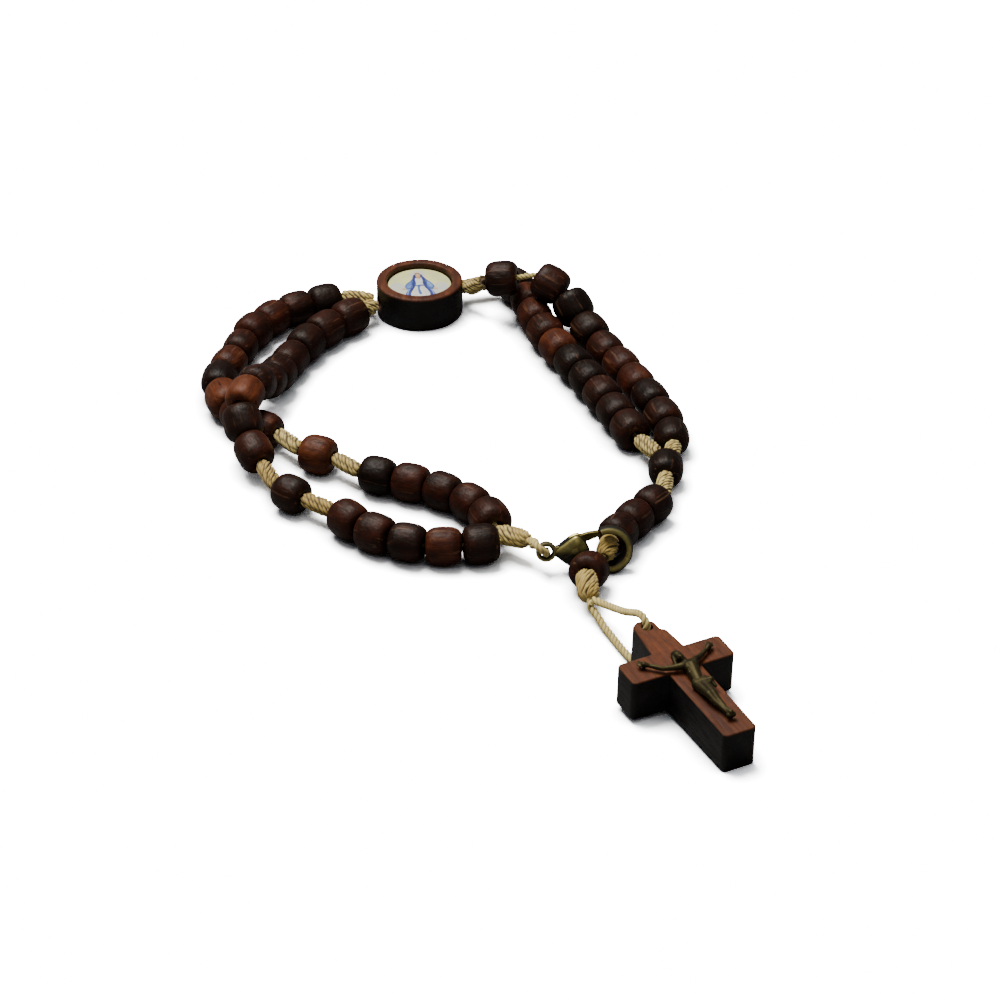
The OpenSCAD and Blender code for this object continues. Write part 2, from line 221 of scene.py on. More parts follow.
def grain_group() -> bpy.types.NodeTree:
    """Wood grain that runs along one axis: broad streaks, fine fibres and small pores."""
    fibres_to_streaks = 5.0
    tree, nodes, source, sink = new_group(
        "wood_grain", {"Place": None, "Stretch": 8.0, "Streaks": 0.8, "Pores": 3.0},
        ("Streak", "Fibre", "Pore"))
    apart = nodes.add("ShaderNodeSeparateXYZ", Vector=source.outputs["Place"])
    along = nodes.math("DIVIDE", apart.outputs["Z"], source.outputs["Stretch"])
    place = nodes.add("ShaderNodeCombineXYZ", X=apart.outputs["X"], Y=apart.outputs["Y"], Z=along).outputs[0]

    def layer(scale: object, factor: float, detail: float) -> bpy.types.NodeSocket:
        """One noise layer of the stretched place, at a scale."""
        return nodes.noise(place, nodes.math("MULTIPLY", scale, factor), detail, 0.6)

    streaks, pores = source.outputs["Streaks"], source.outputs["Pores"]
    nodes.feed(sink, Streak=nodes.spread(layer(streaks, 1.0, 3.0), 0.3, 0.7))
    nodes.feed(sink, Fibre=nodes.spread(layer(streaks, fibres_to_streaks, 4.0), 0.25, 0.75))
    nodes.feed(sink, Pore=nodes.spread(layer(pores, 1.0, 2.0), 0.62, 0.74))
    return tree


def wear_group() -> bpy.types.NodeTree:
    """Masks for worn edges and for dirt in hollows, broken up by noise."""
    flat, broken_by, step_in, step_out = 0.5, 0.06, 0.03, 0.05
    tree, nodes, source, sink = new_group(
        "edge_wear", {"Place": None, "Scale": 1.0, "Low": 0.47, "High": 0.55}, ("Edge", "Hollow"))
    bend = nodes.add("ShaderNodeNewGeometry").outputs["Pointiness"]
    speckle = nodes.noise(source.outputs["Place"], source.outputs["Scale"], 4.0, 0.5)
    broken = nodes.math("ADD", bend, nodes.sway(speckle, broken_by))
    edge = nodes.add("ShaderNodeMapRange", Value=broken, From_Max=source.outputs["High"])
    nodes.feed(edge, From_Min=nodes.math("ADD", source.outputs["Low"], step_in))
    darkening = nodes.add("ShaderNodeMapRange", Value=broken, From_Min=flat)
    nodes.feed(darkening, From_Max=nodes.math("SUBTRACT", source.outputs["Low"], step_out))
    nodes.feed(sink, Edge=edge.outputs[0], Hollow=darkening.outputs[0])
    return tree


GRAIN = grain_group()
WEAR = wear_group()


def rgb(red: float, green: float, blue: float) -> Colour:
    """A colour given as display values from 0 to 255, as the linear colour that a shader takes."""
    def linear(value: float) -> float:
        """One channel, from display to linear."""
        part = value / 255.0
        return part / 12.92 if part <= 0.04045 else ((part + 0.055) / 1.055) ** 2.4
    return (linear(red), linear(green), linear(blue), 1.0)


def material(name: str) -> Tuple[bpy.types.Material, Nodes, bpy.types.Node]:
    """An empty material with a Principled shader.

    Args:
        name: the material's name.
    Returns:
        The material, its node helper and its shader.
    """
    made = bpy.data.materials.new(name)
    made.use_nodes = True
    nodes = Nodes(made.node_tree)
    return made, nodes, made.node_tree.nodes["Principled BSDF"]


def bumped(nodes: Nodes, shader: bpy.types.Node, height: object, strength: float, distance: float) -> None:
    """Puts a bump of this height, in metres at full strength, on the shader's normal."""
    bump = nodes.add("ShaderNodeBump", Strength=strength, Distance=distance, Height=height)
    nodes.feed(shader, Normal=bump.outputs[0])


# Finishes


@dataclass(frozen=True)
class BeadWood:
    """Oiled hardwood, from nearly black to tan by the bead's own tone, with painted glints along its grain.
    """

    name: str = "bead_wood"
    darkest: Colour = rgb(18, 9, 6)
    dark: Colour = rgb(33, 15, 9)
    middle: Colour = rgb(60, 26, 15)
    light: Colour = rgb(116, 63, 36)
    painted_glint: Colour = rgb(168, 122, 92)
    streaks: float = 0.3
    patches: float = 0.7
    fibres: float = 0.2
    pores: float = 0.75
    painted_glints: float = 0.22
    dents: float = 4.0
    shine: float = 0.15

    def make(self) -> bpy.types.Material:
        """Builds the material."""
        made, nodes, shader = material(self.name)
        place = nodes.attribute("grain_place", "Vector")
        grain = nodes.group(GRAIN, place, Stretch=9.0, Streaks=0.9, Pores=2.6).outputs
        glint_grain = nodes.group(GRAIN, place, Stretch=14.0, Streaks=3.0, Pores=1.3).outputs
        tone = nodes.math("ADD", nodes.attribute("tone"), nodes.sway(grain["Streak"], self.streaks))
        tone = nodes.math("ADD", tone, nodes.sway(nodes.noise(place, 0.28, 2.0), self.patches), True)
        stops = [(0.0, self.darkest), (0.25, self.dark), (0.55, self.middle), (1.0, self.light)]
        colour = nodes.tint(nodes.ramp(tone, stops), grain["Fibre"], self.fibres, self.darkest)
        colour = nodes.tint(colour, grain["Pore"], self.pores, self.darkest)
        # Light flecks along the grain are painted glints: highlights drawn into the colour.
        colour = nodes.tint(colour, glint_grain["Pore"], self.painted_glints, self.painted_glint)
        nodes.feed(shader, Base_Color=colour, Specular_IOR_Level=self.shine)
        nodes.feed(shader, Roughness=nodes.spread(grain["Fibre"], 0, 1, 0.33, 0.5))
        height = nodes.math("SUBTRACT", grain["Fibre"], nodes.math("MULTIPLY", grain["Pore"], 1.2))
        height = nodes.math("ADD", height, nodes.math("MULTIPLY", grain["Streak"], 0.8))
        height = nodes.math("ADD", height, nodes.math("MULTIPLY", nodes.noise(place, 0.9, 2.0), self.dents))
        bumped(nodes, shader, height, 0.4, 0.0001)
        return made


@dataclass(frozen=True)
class FaceWood:
    """An oiled wooden face with its grain along one direction, burnt nearly black where the tone is 1."""

    name: str
    dark: Colour
    middle: Colour
    light: Colour
    stretch: float = 14.0
    edge: Colour = rgb(34, 16, 12)
    burnt: Colour = rgb(11, 10, 10)
    ash: Colour = rgb(30, 32, 34)
    fibres: float = 0.35
    pores: float = 0.5
    worn: float = 0.5
    shine: float = 0.22

    def make(self) -> bpy.types.Material:
        """Builds the material."""
        made, nodes, shader = material(self.name)
        place = nodes.attribute("grain_place", "Vector")
        grain = nodes.group(GRAIN, place, Stretch=self.stretch, Streaks=0.7, Pores=3.2).outputs
        wear = nodes.group(WEAR, place, Scale=1.2).outputs
        colour = nodes.ramp(grain["Streak"], [(0.0, self.dark), (0.5, self.middle), (1.0, self.light)])
        colour = nodes.tint(colour, grain["Fibre"], self.fibres, self.dark)
        colour = nodes.tint(colour, grain["Pore"], self.pores, self.edge)
        colour = nodes.tint(colour, wear["Edge"], self.worn, self.edge)
        coal = nodes.mix(nodes.spread(nodes.noise(place, 0.35, 4.0), 0.45, 0.8), self.burnt, self.ash)
        burn = nodes.math("ADD", nodes.attribute("tone"), nodes.math("MULTIPLY", grain["Streak"], 0.2))
        colour = nodes.mix(nodes.spread(burn, 0.15, 0.95), colour, coal)
        nodes.feed(shader, Base_Color=colour, Specular_IOR_Level=self.shine)
        nodes.feed(shader, Roughness=nodes.spread(grain["Fibre"], 0, 1, 0.42, 0.6))
        bumped(nodes, shader, nodes.math("SUBTRACT", grain["Fibre"], grain["Pore"]), 0.5, 0.0001)
        return made


@dataclass(frozen=True)
class TwistedCord:
    """Waxed cotton cord, cream, with painted shade in the grooves between its plies."""

    name: str = "twisted_cord"
    light: Colour = rgb(242, 224, 140)
    middle: Colour = rgb(190, 162, 82)
    dark: Colour = rgb(74, 50, 20)
    fibre_scale: float = 5200.0
    patch_scale: float = 320.0
    fibres: float = 0.3
    ply_shade: float = 0.92

    def make(self) -> bpy.types.Material:
        """Builds the material."""
        made, nodes, shader = material(self.name)
        place = nodes.add("ShaderNodeTexCoord").outputs["Object"]
        fibre = nodes.noise(place, self.fibre_scale, 4.0)
        yellow = nodes.math("MULTIPLY", nodes.attribute("tone"), 0.6)
        factor = nodes.math("ADD", nodes.noise(place, self.patch_scale, 2.0), yellow)
        colour = nodes.mix(nodes.spread(factor, 0.4, 1.0), self.light, self.middle)
        colour = nodes.tint(colour, nodes.spread(fibre, 0.5, 0.8), self.fibres, self.dark)
        # The painted_shade attribute paints shade into the grooves between the plies and between a knot's
        # strands.
        colour = nodes.tint(colour, nodes.attribute("painted_shade"), self.ply_shade, self.dark)
        nodes.feed(shader, Base_Color=colour, Roughness=0.78, Sheen_Weight=0.25)
        bumped(nodes, shader, fibre, 0.6, 0.00006)
        return made


@dataclass(frozen=True)
class AgedBrass:
    """Antique brass or bronze: worn bright on its edges, nearly black with patina in its hollows, and
    darkened where the painted_shade attribute paints shade.
    """

    name: str
    bright: Colour
    body: Colour
    dark: Colour = rgb(22, 19, 13)
    rough: float = 0.38
    dirt_rough: float = 0.3
    bump: float = 0.25
    cloud_scale: float = 300.0
    pit_scale: float = 3800.0

    def make(self) -> bpy.types.Material:
        """Builds the material."""
        made, nodes, shader = material(self.name)
        place = nodes.add("ShaderNodeTexCoord").outputs["Object"]
        wear = nodes.group(WEAR, place, Scale=700.0, Low=0.47, High=0.56).outputs
        cloud = nodes.spread(nodes.noise(place, self.cloud_scale), 0.35, 0.7)
        pits = nodes.noise(place, self.pit_scale)
        colour = nodes.tint(self.body, cloud, 0.5, self.bright)
        colour = nodes.mix(wear["Edge"], colour, self.bright)
        # Darkened by patina in the hollows and by the painted_shade attribute, where shade is painted.
        darkening = nodes.math("MAXIMUM", wear["Hollow"], nodes.attribute("painted_shade"))
        nodes.feed(shader, Base_Color=nodes.mix(darkening, colour, self.dark))
        nodes.feed(shader, Metallic=nodes.spread(darkening, 0, 1, 1.0, 0.45))
        dull = nodes.spread(nodes.math("ADD", pits, darkening), 0.3, 1.6, self.rough,
                            self.rough + self.dirt_rough)
        nodes.feed(shader, Roughness=dull)
        bumped(nodes, shader, pits, self.bump, 0.00004)
        return made


@dataclass(frozen=True)
class Paint:
    """Flat printed colour with a slight wash in it."""

    name: str
    colour: Colour
    wash: Colour
    scale: float = 900.0

    def make(self) -> bpy.types.Material:
        """Builds the material."""
        made, nodes, shader = material(self.name)
        place = nodes.add("ShaderNodeTexCoord").outputs["Object"]
        cloud = nodes.spread(nodes.noise(place, self.scale), 0.4, 0.68)
        nodes.feed(shader, Base_Color=nodes.mix(cloud, self.colour, self.wash), Roughness=0.45)
        return made


# Mesh helpers


def mesh_object(name: str, points: Iterable[Sequence[float]], faces: Sequence[Sequence[int]],
                materials: Sequence[bpy.types.Material], smooth: bool = True) -> bpy.types.Object:
    """Makes an object from points in millimetres.

    Args:
        name: the object's name.
        points: the points, in the part's frame, in millimetres.
        faces: the faces, as lists of point numbers.
        materials: the object's material slots.
        smooth: whether the faces shade smoothly.
    Returns:
        The object, linked to the scene.
    """
    mesh = bpy.data.meshes.new(name)
    mesh.from_pydata([[value * MM for value in point] for point in points], [], faces)
    for item in materials:
        mesh.materials.append(item)
    mesh.polygons.foreach_set("use_smooth", [smooth] * len(mesh.polygons))
    mesh.update()
    made = bpy.data.objects.new(name, mesh)
    bpy.context.scene.collection.objects.link(made)
    return made


def add_attribute(obj: bpy.types.Object, name: str, values: np.ndarray) -> None:
    """Stores a number or a vector for each point of the mesh."""
    values = np.asarray(values, dtype=np.float32)
    kind, key = ("FLOAT", "value") if values.ndim == 1 else ("FLOAT_VECTOR", "vector")
    layer = obj.data.attributes.new(name, kind, "POINT")
    layer.data.foreach_set(key, values.ravel())


def applied(obj: bpy.types.Object) -> bpy.types.Object:
    """Applies the object's modifiers and returns it."""
    graph = bpy.context.evaluated_depsgraph_get()
    shaped = obj.evaluated_get(graph)
    mesh = bpy.data.meshes.new_from_object(shaped, preserve_all_data_layers=True, depsgraph=graph)
    obj.modifiers.clear()
    old = obj.data
    obj.data = mesh
    bpy.data.meshes.remove(old)
    return obj


def cut(obj: bpy.types.Object, tool: bpy.types.Object) -> bpy.types.Object:
    """Cuts the tool's shape out of the object, removes the tool and returns the object."""
    modifier = obj.modifiers.new("cut", "BOOLEAN")
    modifier.operation = "DIFFERENCE"
    modifier.solver = "EXACT"
    modifier.object = tool
    applied(obj)
    bpy.data.objects.remove(tool)
    return obj


def cleaned(obj: bpy.types.Object, angle: float = 40.0) -> bpy.types.Object:
    """Points the faces outwards and keeps edges sharper than the angle sharp."""
    work = bmesh.new()
    work.from_mesh(obj.data)
    bmesh.ops.recalc_face_normals(work, faces=work.faces)
    for edge in work.edges:
        if len(edge.link_faces) == 2 and edge.calc_face_angle(0.0) > math.radians(angle):
            edge.smooth = False
    work.to_mesh(obj.data)
    work.free()
    return obj


def joined(name: str, parts: List[bpy.types.Object]) -> bpy.types.Object:
    """Joins objects into the first one and names it."""
    with bpy.context.temp_override(active_object=parts[0], selected_editable_objects=parts):
        bpy.ops.object.join()
    parts[0].name = name
    parts[0].data.name = name
    return parts[0]


def prism(name: str, low: Iterable[Point], high: Iterable[Point], materials: Sequence[bpy.types.Material],
          smooth: bool = True) -> bpy.types.Object:
    """Makes a closed plate between two outlines that have the same number of points."""
    points = list(low) + list(high)
    count = len(points) // 2
    faces = [list(reversed(range(count))), list(range(count, 2 * count))]
    faces += [[k, (k + 1) % count, count + (k + 1) % count, count + k] for k in range(count)]
    return cleaned(mesh_object(name, points, faces, materials, smooth))


def smooth_line(points: Sequence[Sequence[float]], steps: int = 10) -> np.ndarray:
    """A Catmull-Rom line through the points, with that many steps between two of them."""
    route = [np.asarray(point, float) for point in points]
    route = [2 * route[0] - route[1]] + route + [2 * route[-1] - route[-2]]
    line = []
    for a, b, c, d in zip(route[:-3], route[1:-2], route[2:-1], route[3:]):
        square, cube = 2 * a - 5 * b + 4 * c - d, 3 * b - a - 3 * c + d
        for t in np.arange(steps) / steps:
            line.append((2 * b + (c - a) * t + square * t ** 2 + cube * t ** 3) / 2)
    line.append(route[-2])
    return np.array(line)


def closed_line(corners: Sequence[Flat], steps: int) -> np.ndarray:
    """A smooth closed line through flat corners, with that many steps between two of them."""
    flat = np.array([(x, y, 0.0) for x, y in corners])
    if steps == 1:
        return flat
    line = smooth_line(np.concatenate([flat[-2:], flat, flat[:2]]), steps)
    return line[2 * steps:][:len(flat) * steps]


def angles_round(count: int) -> np.ndarray:
    """The angles of that many even places round a circle."""
    return np.arange(count) * 2 * math.pi / count


def signed_power(value: float, power: float) -> float:
    """The value's size raised to the power, with the value's own sign."""
    return math.copysign(abs(value) ** power, value)


def lengths_along(line: np.ndarray) -> np.ndarray:
    """How far along the line each of its points lies."""
    return np.concatenate([[0.0], np.cumsum(np.linalg.norm(np.diff(line, axis=0), axis=1))])


def evenly(line: np.ndarray, step: float) -> np.ndarray:
    """The same line with points about a step apart."""
    lengths = lengths_along(line)
    count = max(2, int(round(lengths[-1] / step)) + 1)
    at = np.linspace(0, lengths[-1], count)
    return np.stack([np.interp(at, lengths, line[:, axis]) for axis in range(3)], 1)


def frames_along(line: np.ndarray) -> Tuple[np.ndarray, np.ndarray, np.ndarray]:
    """Tangents and two side directions at each point, carried along without twist."""
    tangents = np.gradient(line, axis=0)
    tangents /= np.linalg.norm(tangents, axis=1)[:, None]
    start = np.cross(tangents[0], [0.0, 0.0, 1.0])
    if np.linalg.norm(start) < 0.1:
        start = np.cross(tangents[0], [1.0, 0.0, 0.0])
    sides = [start / np.linalg.norm(start)]
    for tangent in tangents[1:]:
        side = sides[-1] - tangent * np.dot(sides[-1], tangent)
        sides.append(side / np.linalg.norm(side))
    sides = np.array(sides)
    return tangents, sides, np.cross(tangents, sides)


class MeshBuilder:
    """Collects points and faces of several strands or lathed shapes into one mesh."""

    def __init__(self) -> None:
        """Starts with nothing."""
        self.points: List[np.ndarray] = []
        self.faces: List[List[int]] = []
        self.tones: List[np.ndarray] = []
        self.places: List[np.ndarray] = []
        self.painted_shades: List[np.ndarray] = []
        self.count = 0

    def grid(self, rings: np.ndarray, tone: float = 0.0, places: Optional[np.ndarray] = None,
             caps: bool = True, closed: bool = False, painted_shade: Optional[np.ndarray] = None) -> None:
        """Adds rings of points joined to a tube.

        Args:
            rings: the points, as rings x points x 3.
            tone: a number kept for each point.
            places: the grain place of each point, or none for the point itself.
            caps: whether the first and last ring are closed by a face.
            closed: whether the last ring joins the first one.
            painted_shade: how much shade is painted on each point, from 0 to 1, or none for 0.
        """
        many, sides = rings.shape[:2]
        base = self.count
        last = many if closed else many - 1
        for i in range(last):
            for k in range(sides):
                a, b = base + i * sides, base + ((i + 1) % many) * sides
                self.faces.append([a + k, b + k, b + (k + 1) % sides, a + (k + 1) % sides])
        if caps and not closed:
            self.faces.append([base + k for k in range(sides)])
            self.faces.append([base + (many - 1) * sides + k for k in reversed(range(sides))])
        flat = rings.reshape(-1, 3)
        self.points.append(flat)
        self.tones.append(np.full(len(flat), tone))
        self.places.append(flat if places is None else places.reshape(-1, 3))
        self.painted_shades.append(np.zeros(len(flat)) if painted_shade is None else painted_shade.ravel())
        self.count += len(flat)

    def tube(self, line: np.ndarray, radius: object, sides: int = 6, tone: float = 0.0,
             middle: Optional[np.ndarray] = None, outer: object = 1.0, fade: Flat = (1.0, 0.35),
             painted_shade: float = 0.0) -> None:
        """Adds a round tube along a line.

        Args:
            line: the tube's middle line.
            radius: its radius, one number or one for each point.
            sides: the points round it.
            tone: a number kept for each point.
            middle: the middle line of the cord that the tube is a ply of, if it is one.
            outer: that cord's radius, one number or one for each point.
            fade: the part of that radius where the painted shade starts, and over which it deepens.
            painted_shade: the painted shade kept for each point where there is no middle line.
        """
        _, side, up = frames_along(line)
        angles = angles_round(sides)
        ring = np.stack([np.cos(angles), np.sin(angles)], 1)
        size = np.broadcast_to(np.asarray(radius, float), (len(line),))[:, None, None]
        spokes = ring[None, :, :1] * side[:, None, :] + ring[None, :, 1:] * up[:, None, :]
        rings = line[:, None, :] + size * spokes
        if middle is None:
            self.grid(rings, tone, painted_shade=np.full(rings.shape[:2], painted_shade))
        else:
            whole = np.broadcast_to(np.asarray(outer, float), (len(line),))[:, None]
            far = np.linalg.norm(rings - middle[:, None, :], axis=2) / whole
            self.grid(rings, tone, painted_shade=np.clip((fade[0] - far) / fade[1], 0.0, 1.0))

    def build(self, name: str, materials: Sequence[bpy.types.Material]) -> bpy.types.Object:
        """Makes the object, with its tones, grain places and painted shade as attributes."""
        made = mesh_object(name, np.concatenate(self.points), self.faces, materials)
        add_attribute(made, "tone", np.concatenate(self.tones))
        add_attribute(made, "grain_place", np.concatenate(self.places))
        add_attribute(made, "painted_shade", np.concatenate(self.painted_shades))
        return cleaned(made, 60.0)


@dataclass
class Cord:
    """A cord twisted from plies."""

    diameter: float = 1.0
    plies: int = 3
    pitch: float = 2.1
    sides: int = 8
    step: float = 0.14
    ply: float = 0.255

    def lay(self, builder: MeshBuilder, route: np.ndarray, tone: float = 0.0, turn: float = 0.0) -> None:
        """Adds the plies along a route to the builder."""
        line = evenly(route, self.step)
        _, side, up = frames_along(line)
        along = lengths_along(line)
        ply = self.diameter * self.ply
        offset = self.diameter / 2 - ply
        for number in range(self.plies):
            angle = turn + 2 * math.pi * (number / self.plies + along / self.pitch)
            strand = line + offset * (np.cos(angle)[:, None] * side + np.sin(angle)[:, None] * up)
            # Each ply gets painted shade where it dips towards the cord's middle line.
            builder.tube(strand, ply, self.sides, tone, line, self.diameter / 2)


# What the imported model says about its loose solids


@dataclass
class Turned:
    """A drilled solid of the model: a bead or a knot."""

    centre: np.ndarray
    axis: np.ndarray
    length: float
    diameter: float

    def end(self, sign: int, beyond: float = 0.0) -> np.ndarray:
        """The middle of one end, or a point beyond it."""
        return self.centre + sign * self.axis * (self.length / 2 + beyond)

    def basis(self) -> np.ndarray:
        """Two side directions and the axis, as rows."""
        side = np.cross([0.0, 0.0, 1.0], self.axis)
        if np.linalg.norm(side) < 0.05:
            side = np.array([1.0, 0.0, 0.0])
        side /= np.linalg.norm(side)
        return np.array([side, np.cross(self.axis, side), self.axis])


def islands(work: bmesh.types.BMesh) -> List[List[bmesh.types.BMVert]]:
    """The points of each solid of a mesh that holds several."""
    found, seen = [], set()
    for start in work.verts:
        if start in seen:
            continue
        island, queue = [], [start]
        seen.add(start)
        while queue:
            vert = queue.pop()
            island.append(vert)
            for edge in vert.link_edges:
                other = edge.other_vert(vert)
                if other not in seen:
                    seen.add(other)
                    queue.append(other)
        found.append(island)
    return found


def turned_solids(node: str) -> List[Turned]:
    """Finds each loose solid of a node, as the longest edges run along its bore.

    Args:
        node: the node's name.
    Returns:
        The centre, axis, length and diameter of each solid.
    """
    work = bmesh.new()
    work.from_mesh(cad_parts[node].data)
    bmesh.ops.remove_doubles(work, verts=work.verts, dist=1e-6)
    found = []
    for island in islands(work):
        edges = list(dict.fromkeys(edge for vert in island for edge in vert.link_edges))
        bore = 0.985 * max(edge.calc_length() for edge in edges)
        ends = [(edge.verts[0].co, edge.verts[1].co) for edge in edges if edge.calc_length() > bore]
        most = sum((b - a for a, b in ends), Vector())
        axis = Vector()
        for a, b in ends:
            axis += (b - a) if (b - a).dot(most) > 0 else (a - b)
        axis.normalize()
        centre = sum(((a + b) / 2 for a, b in ends), Vector()) / len(ends)
        places = [vert.co - centre for vert in island]
        length = 2 * max(abs(place.dot(axis)) for place in places)
        radius = max((place - axis * place.dot(axis)).length for place in places)
        found.append(Turned(np.array(centre) / MM, np.array(axis), length / MM, 2 * radius / MM))
    work.free()
    return sorted(found, key=lambda item: (round(float(item.centre[0]), 1), float(item.centre[1])))


# Beads


class BeadRow(NamedTuple):
    """Where a bead lies, in whole millimetres, how light its wood is, and its diameter."""

    x: int
    y: int
    tone: float
    diameter: float


BEADS = [BeadRow(*row) for row in (
    (33, 16, 0.18, 5.5), (32, 21, 0.3, 5.8), (30, 27, 0.15, 5.7), (28, 32, 0.52, 5.7), (26, 37, 0.46, 5.7),
    (23, 43, 0.36, 5.6), (21, 48, 0.15, 6.21), (18, 52, 0.04, 6.42), (15, 55, 0.36, 6.21), (7, 57, 0.3, 6),
    (-18, 53, 0.35, 6), (-22, 49, 0.33, 6), (-25, 44, 0.25, 6.11), (-27, 39, 0.3, 5.69), (-29, 34, 0.25, 6),
    (-30, 29, 0.3, 6), (-32, 24, 0.3, 6), (-33, 19, 0.75, 5.7), (-33, 14, 0.25, 6.11), (-32, 9, 0.42, 5.95),
    (-25, -1, 0.3, 5.8), (-16, -8, 0.42, 6.11), (-12, -12, 0.42, 6.11), (-7, -14, 0.25, 5.9),
    (-2, -15, 0.62, 5.9), (3, -15, 0.25, 6.11), (5, -8, 0.42, 6.21), (2, -4, 0.4, 6), (-2, 0, 0.3, 5.95),
    (-7, 2, 0.48, 6), (-12, 4, 0.1, 6), (-22, 10, 0.68, 6.1), (-30, 18, 0.5, 5.9), (-34, 21, 0.5, 6),
    (-37, 26, 0.72, 6.11), (-38, 33, 0.08, 5.65), (-37, 38, 0.6, 5.6), (-36, 43, 0.35, 5.69),
    (-34, 48, 0.42, 6.11), (-31, 52, 0.5, 5.85), (-27, 56, 0.3, 5.69), (-23, 58, 0.12, 5.69),
    (9, 63, 0.3, 6.11), (11, 58, 0.5, 5.8), (12, 53, 0.52, 5.8), (14, 48, 0.4, 6), (16, 42, 0.66, 6),
    (18, 38, 0.06, 6), (20, 33, 0.1, 6), (22, 28, 0.3, 6), (24, 23, 0.25, 6), (27, 18, 0.3, 6),
    (32, 7, 0.15, 5.6), (29, -4, 0.2, 5.95), (26, -8, 0.3, 5.9), (24, -12, 0.3, 5.8), (19, -22, 0.36, 5.85))]


@dataclass
class Beads:
    """The turned beads of one node, each a little irregular."""

    node: str
    piece: str
    bore_r: float = 1.0
    cord_r: float = 0.5
    land_r: float = 1.2
    sides: int = 48
    steps: int = 22
    bump_size: float = 0.05
    fullness: float = 2.85
    gap: float = 0.1
    close: float = 1.9
    lying: float = 0.2
    lowest: float = 2.6

    def profile(self, bead: Turned, fullness: float) -> List[Flat]:
        """The bead's outline from one bore edge to the other, as radius and height."""
        radius, half = bead.diameter / 2, bead.length / 2
        bore = [(self.cord_r, half - 1.5), (self.bore_r - 0.02, half - 1.1), (self.bore_r, half - 0.3),
                (self.bore_r + 0.08, half - 0.04)]
        outside = []
        for t in np.linspace(0, math.pi, self.steps + 1):
            r = self.land_r + (radius - self.land_r) * math.sin(t) ** (2 / fullness)
            outside.append((r, half * signed_power(math.cos(t), 2 / fullness)))
        return bore + outside + [(r, -z) for r, z in reversed(bore)]

    def row_of(self, bead: Turned) -> BeadRow:
        """The row of the nearest listed place."""
        return min(BEADS, key=lambda row: math.hypot(row.x - bead.centre[0], row.y - bead.centre[1]))

    def shaped(self, bead: Turned, others: List[Turned]) -> Turned:
        """The bead in its own size: resting on the floor, and as long as its neighbours allow."""
        size = self.row_of(bead).diameter
        reach = []
        for sign in (-1, 1):
            ends = [other.end(way) for other in others if other is not bead for way in (-1, 1)]
            gap = min(float(np.linalg.norm(bead.end(sign) - end)) for end in ends)
            reach.append((gap - self.gap) / 2 if gap < self.close else 0.0)
        centre = bead.centre + bead.axis * (reach[1] - reach[0]) / 2
        if bead.centre[2] < bead.diameter / 2 + self.lying:
            centre = centre + np.array([0.0, 0.0, max(size / 2, self.lowest) - centre[2]])
        return Turned(centre, bead.axis, bead.length + reach[0] + reach[1], size)

    def uneven(self, spot: Vector, shift: Vector, r: float, radius: float) -> Vector:
        """A place of the turned surface, moved in or out by soft dents that grow towards the outside."""
        outer = max(0.0, (r - self.bore_r) / (radius - self.bore_r))
        swell = noise.noise(spot * 0.35 + shift) * 0.9 + noise.noise(spot * 1.1 + shift) * 0.35
        return spot * (1.0 - 0.012 * outer + self.bump_size * outer * swell / 3.0)

    def lay(self, builder: MeshBuilder, bead: Turned, number: int) -> None:
        """Adds one bead to the builder, with its own squareness, dents and grain."""
        shift = Vector((number * 13.7, number * 5.3, number * 9.1))
        basis = bead.basis()
        rings, places = [], []
        for r, z in self.profile(bead, self.fullness + 0.4 * noise.noise(shift)):
            ring, place = [], []
            for angle in angles_round(self.sides):
                spot = Vector((math.cos(angle) * r, math.sin(angle) * r, z))
                spot = self.uneven(spot, shift, r, bead.diameter / 2)
                oval = 1.0 + 0.02 * math.cos(2 * angle + number)
                ring.append(bead.centre + (np.array(spot) * [oval, 1.0, 1.0]) @ basis)
                place.append(np.array(spot) + np.array(shift) * 3.0)
            rings.append(ring)
            places.append(place)
        builder.grid(np.array(rings), self.row_of(bead).tone, np.array(places), caps=False, closed=True)

    def build(self, wood: bpy.types.Material) -> List[Turned]:
        """Builds all the beads as one piece.

        Args:
            wood: the beads' material.
        Returns:
            The solids that the beads stand for.
        """
        beads = turned_solids(self.node)
        builder = MeshBuilder()
        for number, solid in enumerate(beads):
            self.lay(builder, self.shaped(solid, beads), number)
        hand_in(builder.build(self.piece, [wood]), Slot.BEADS, Body.BRACELET, self.node)
        return beads


# Knots and the cord between the beads


class KnotRow(NamedTuple):
    """How the knot at a place, in whole millimetres, is wound.

    before and after are how far the winding goes past the solid's two ends, and first_r and last_r are its
    radius there. yellow is its tint, thicker is what it adds to the solid's radius, and gap_shade is how
    fast the gaps between its strands grow light.
    """

    x: int
    y: int
    before: float
    after: float
    yellow: float
    thicker: float
    first_r: float
    last_r: float
    gap_shade: float

    def other_way(self) -> "KnotRow":
        """The same knot with its ends swapped."""
        return self._replace(before=self.after, after=self.before, first_r=self.last_r, last_r=self.first_r)


KNOTS = [KnotRow(*row) for row in (
    (19, -27, 1.1, 0.0, 0.75, 0.16, 1.4, 0.7, 0.35), (22, -16, 0.6, 0.6, 0.85, 0.05, 0.9, 0.9, 0.35),
    (9, -14, 0.9, 0.1, 0.5, 0.05, 1.1, 0.75, 0.15), (29, 13, -0.2, 0.42, 0.3, 0.05, 0.92, 0.92, 0.12))]


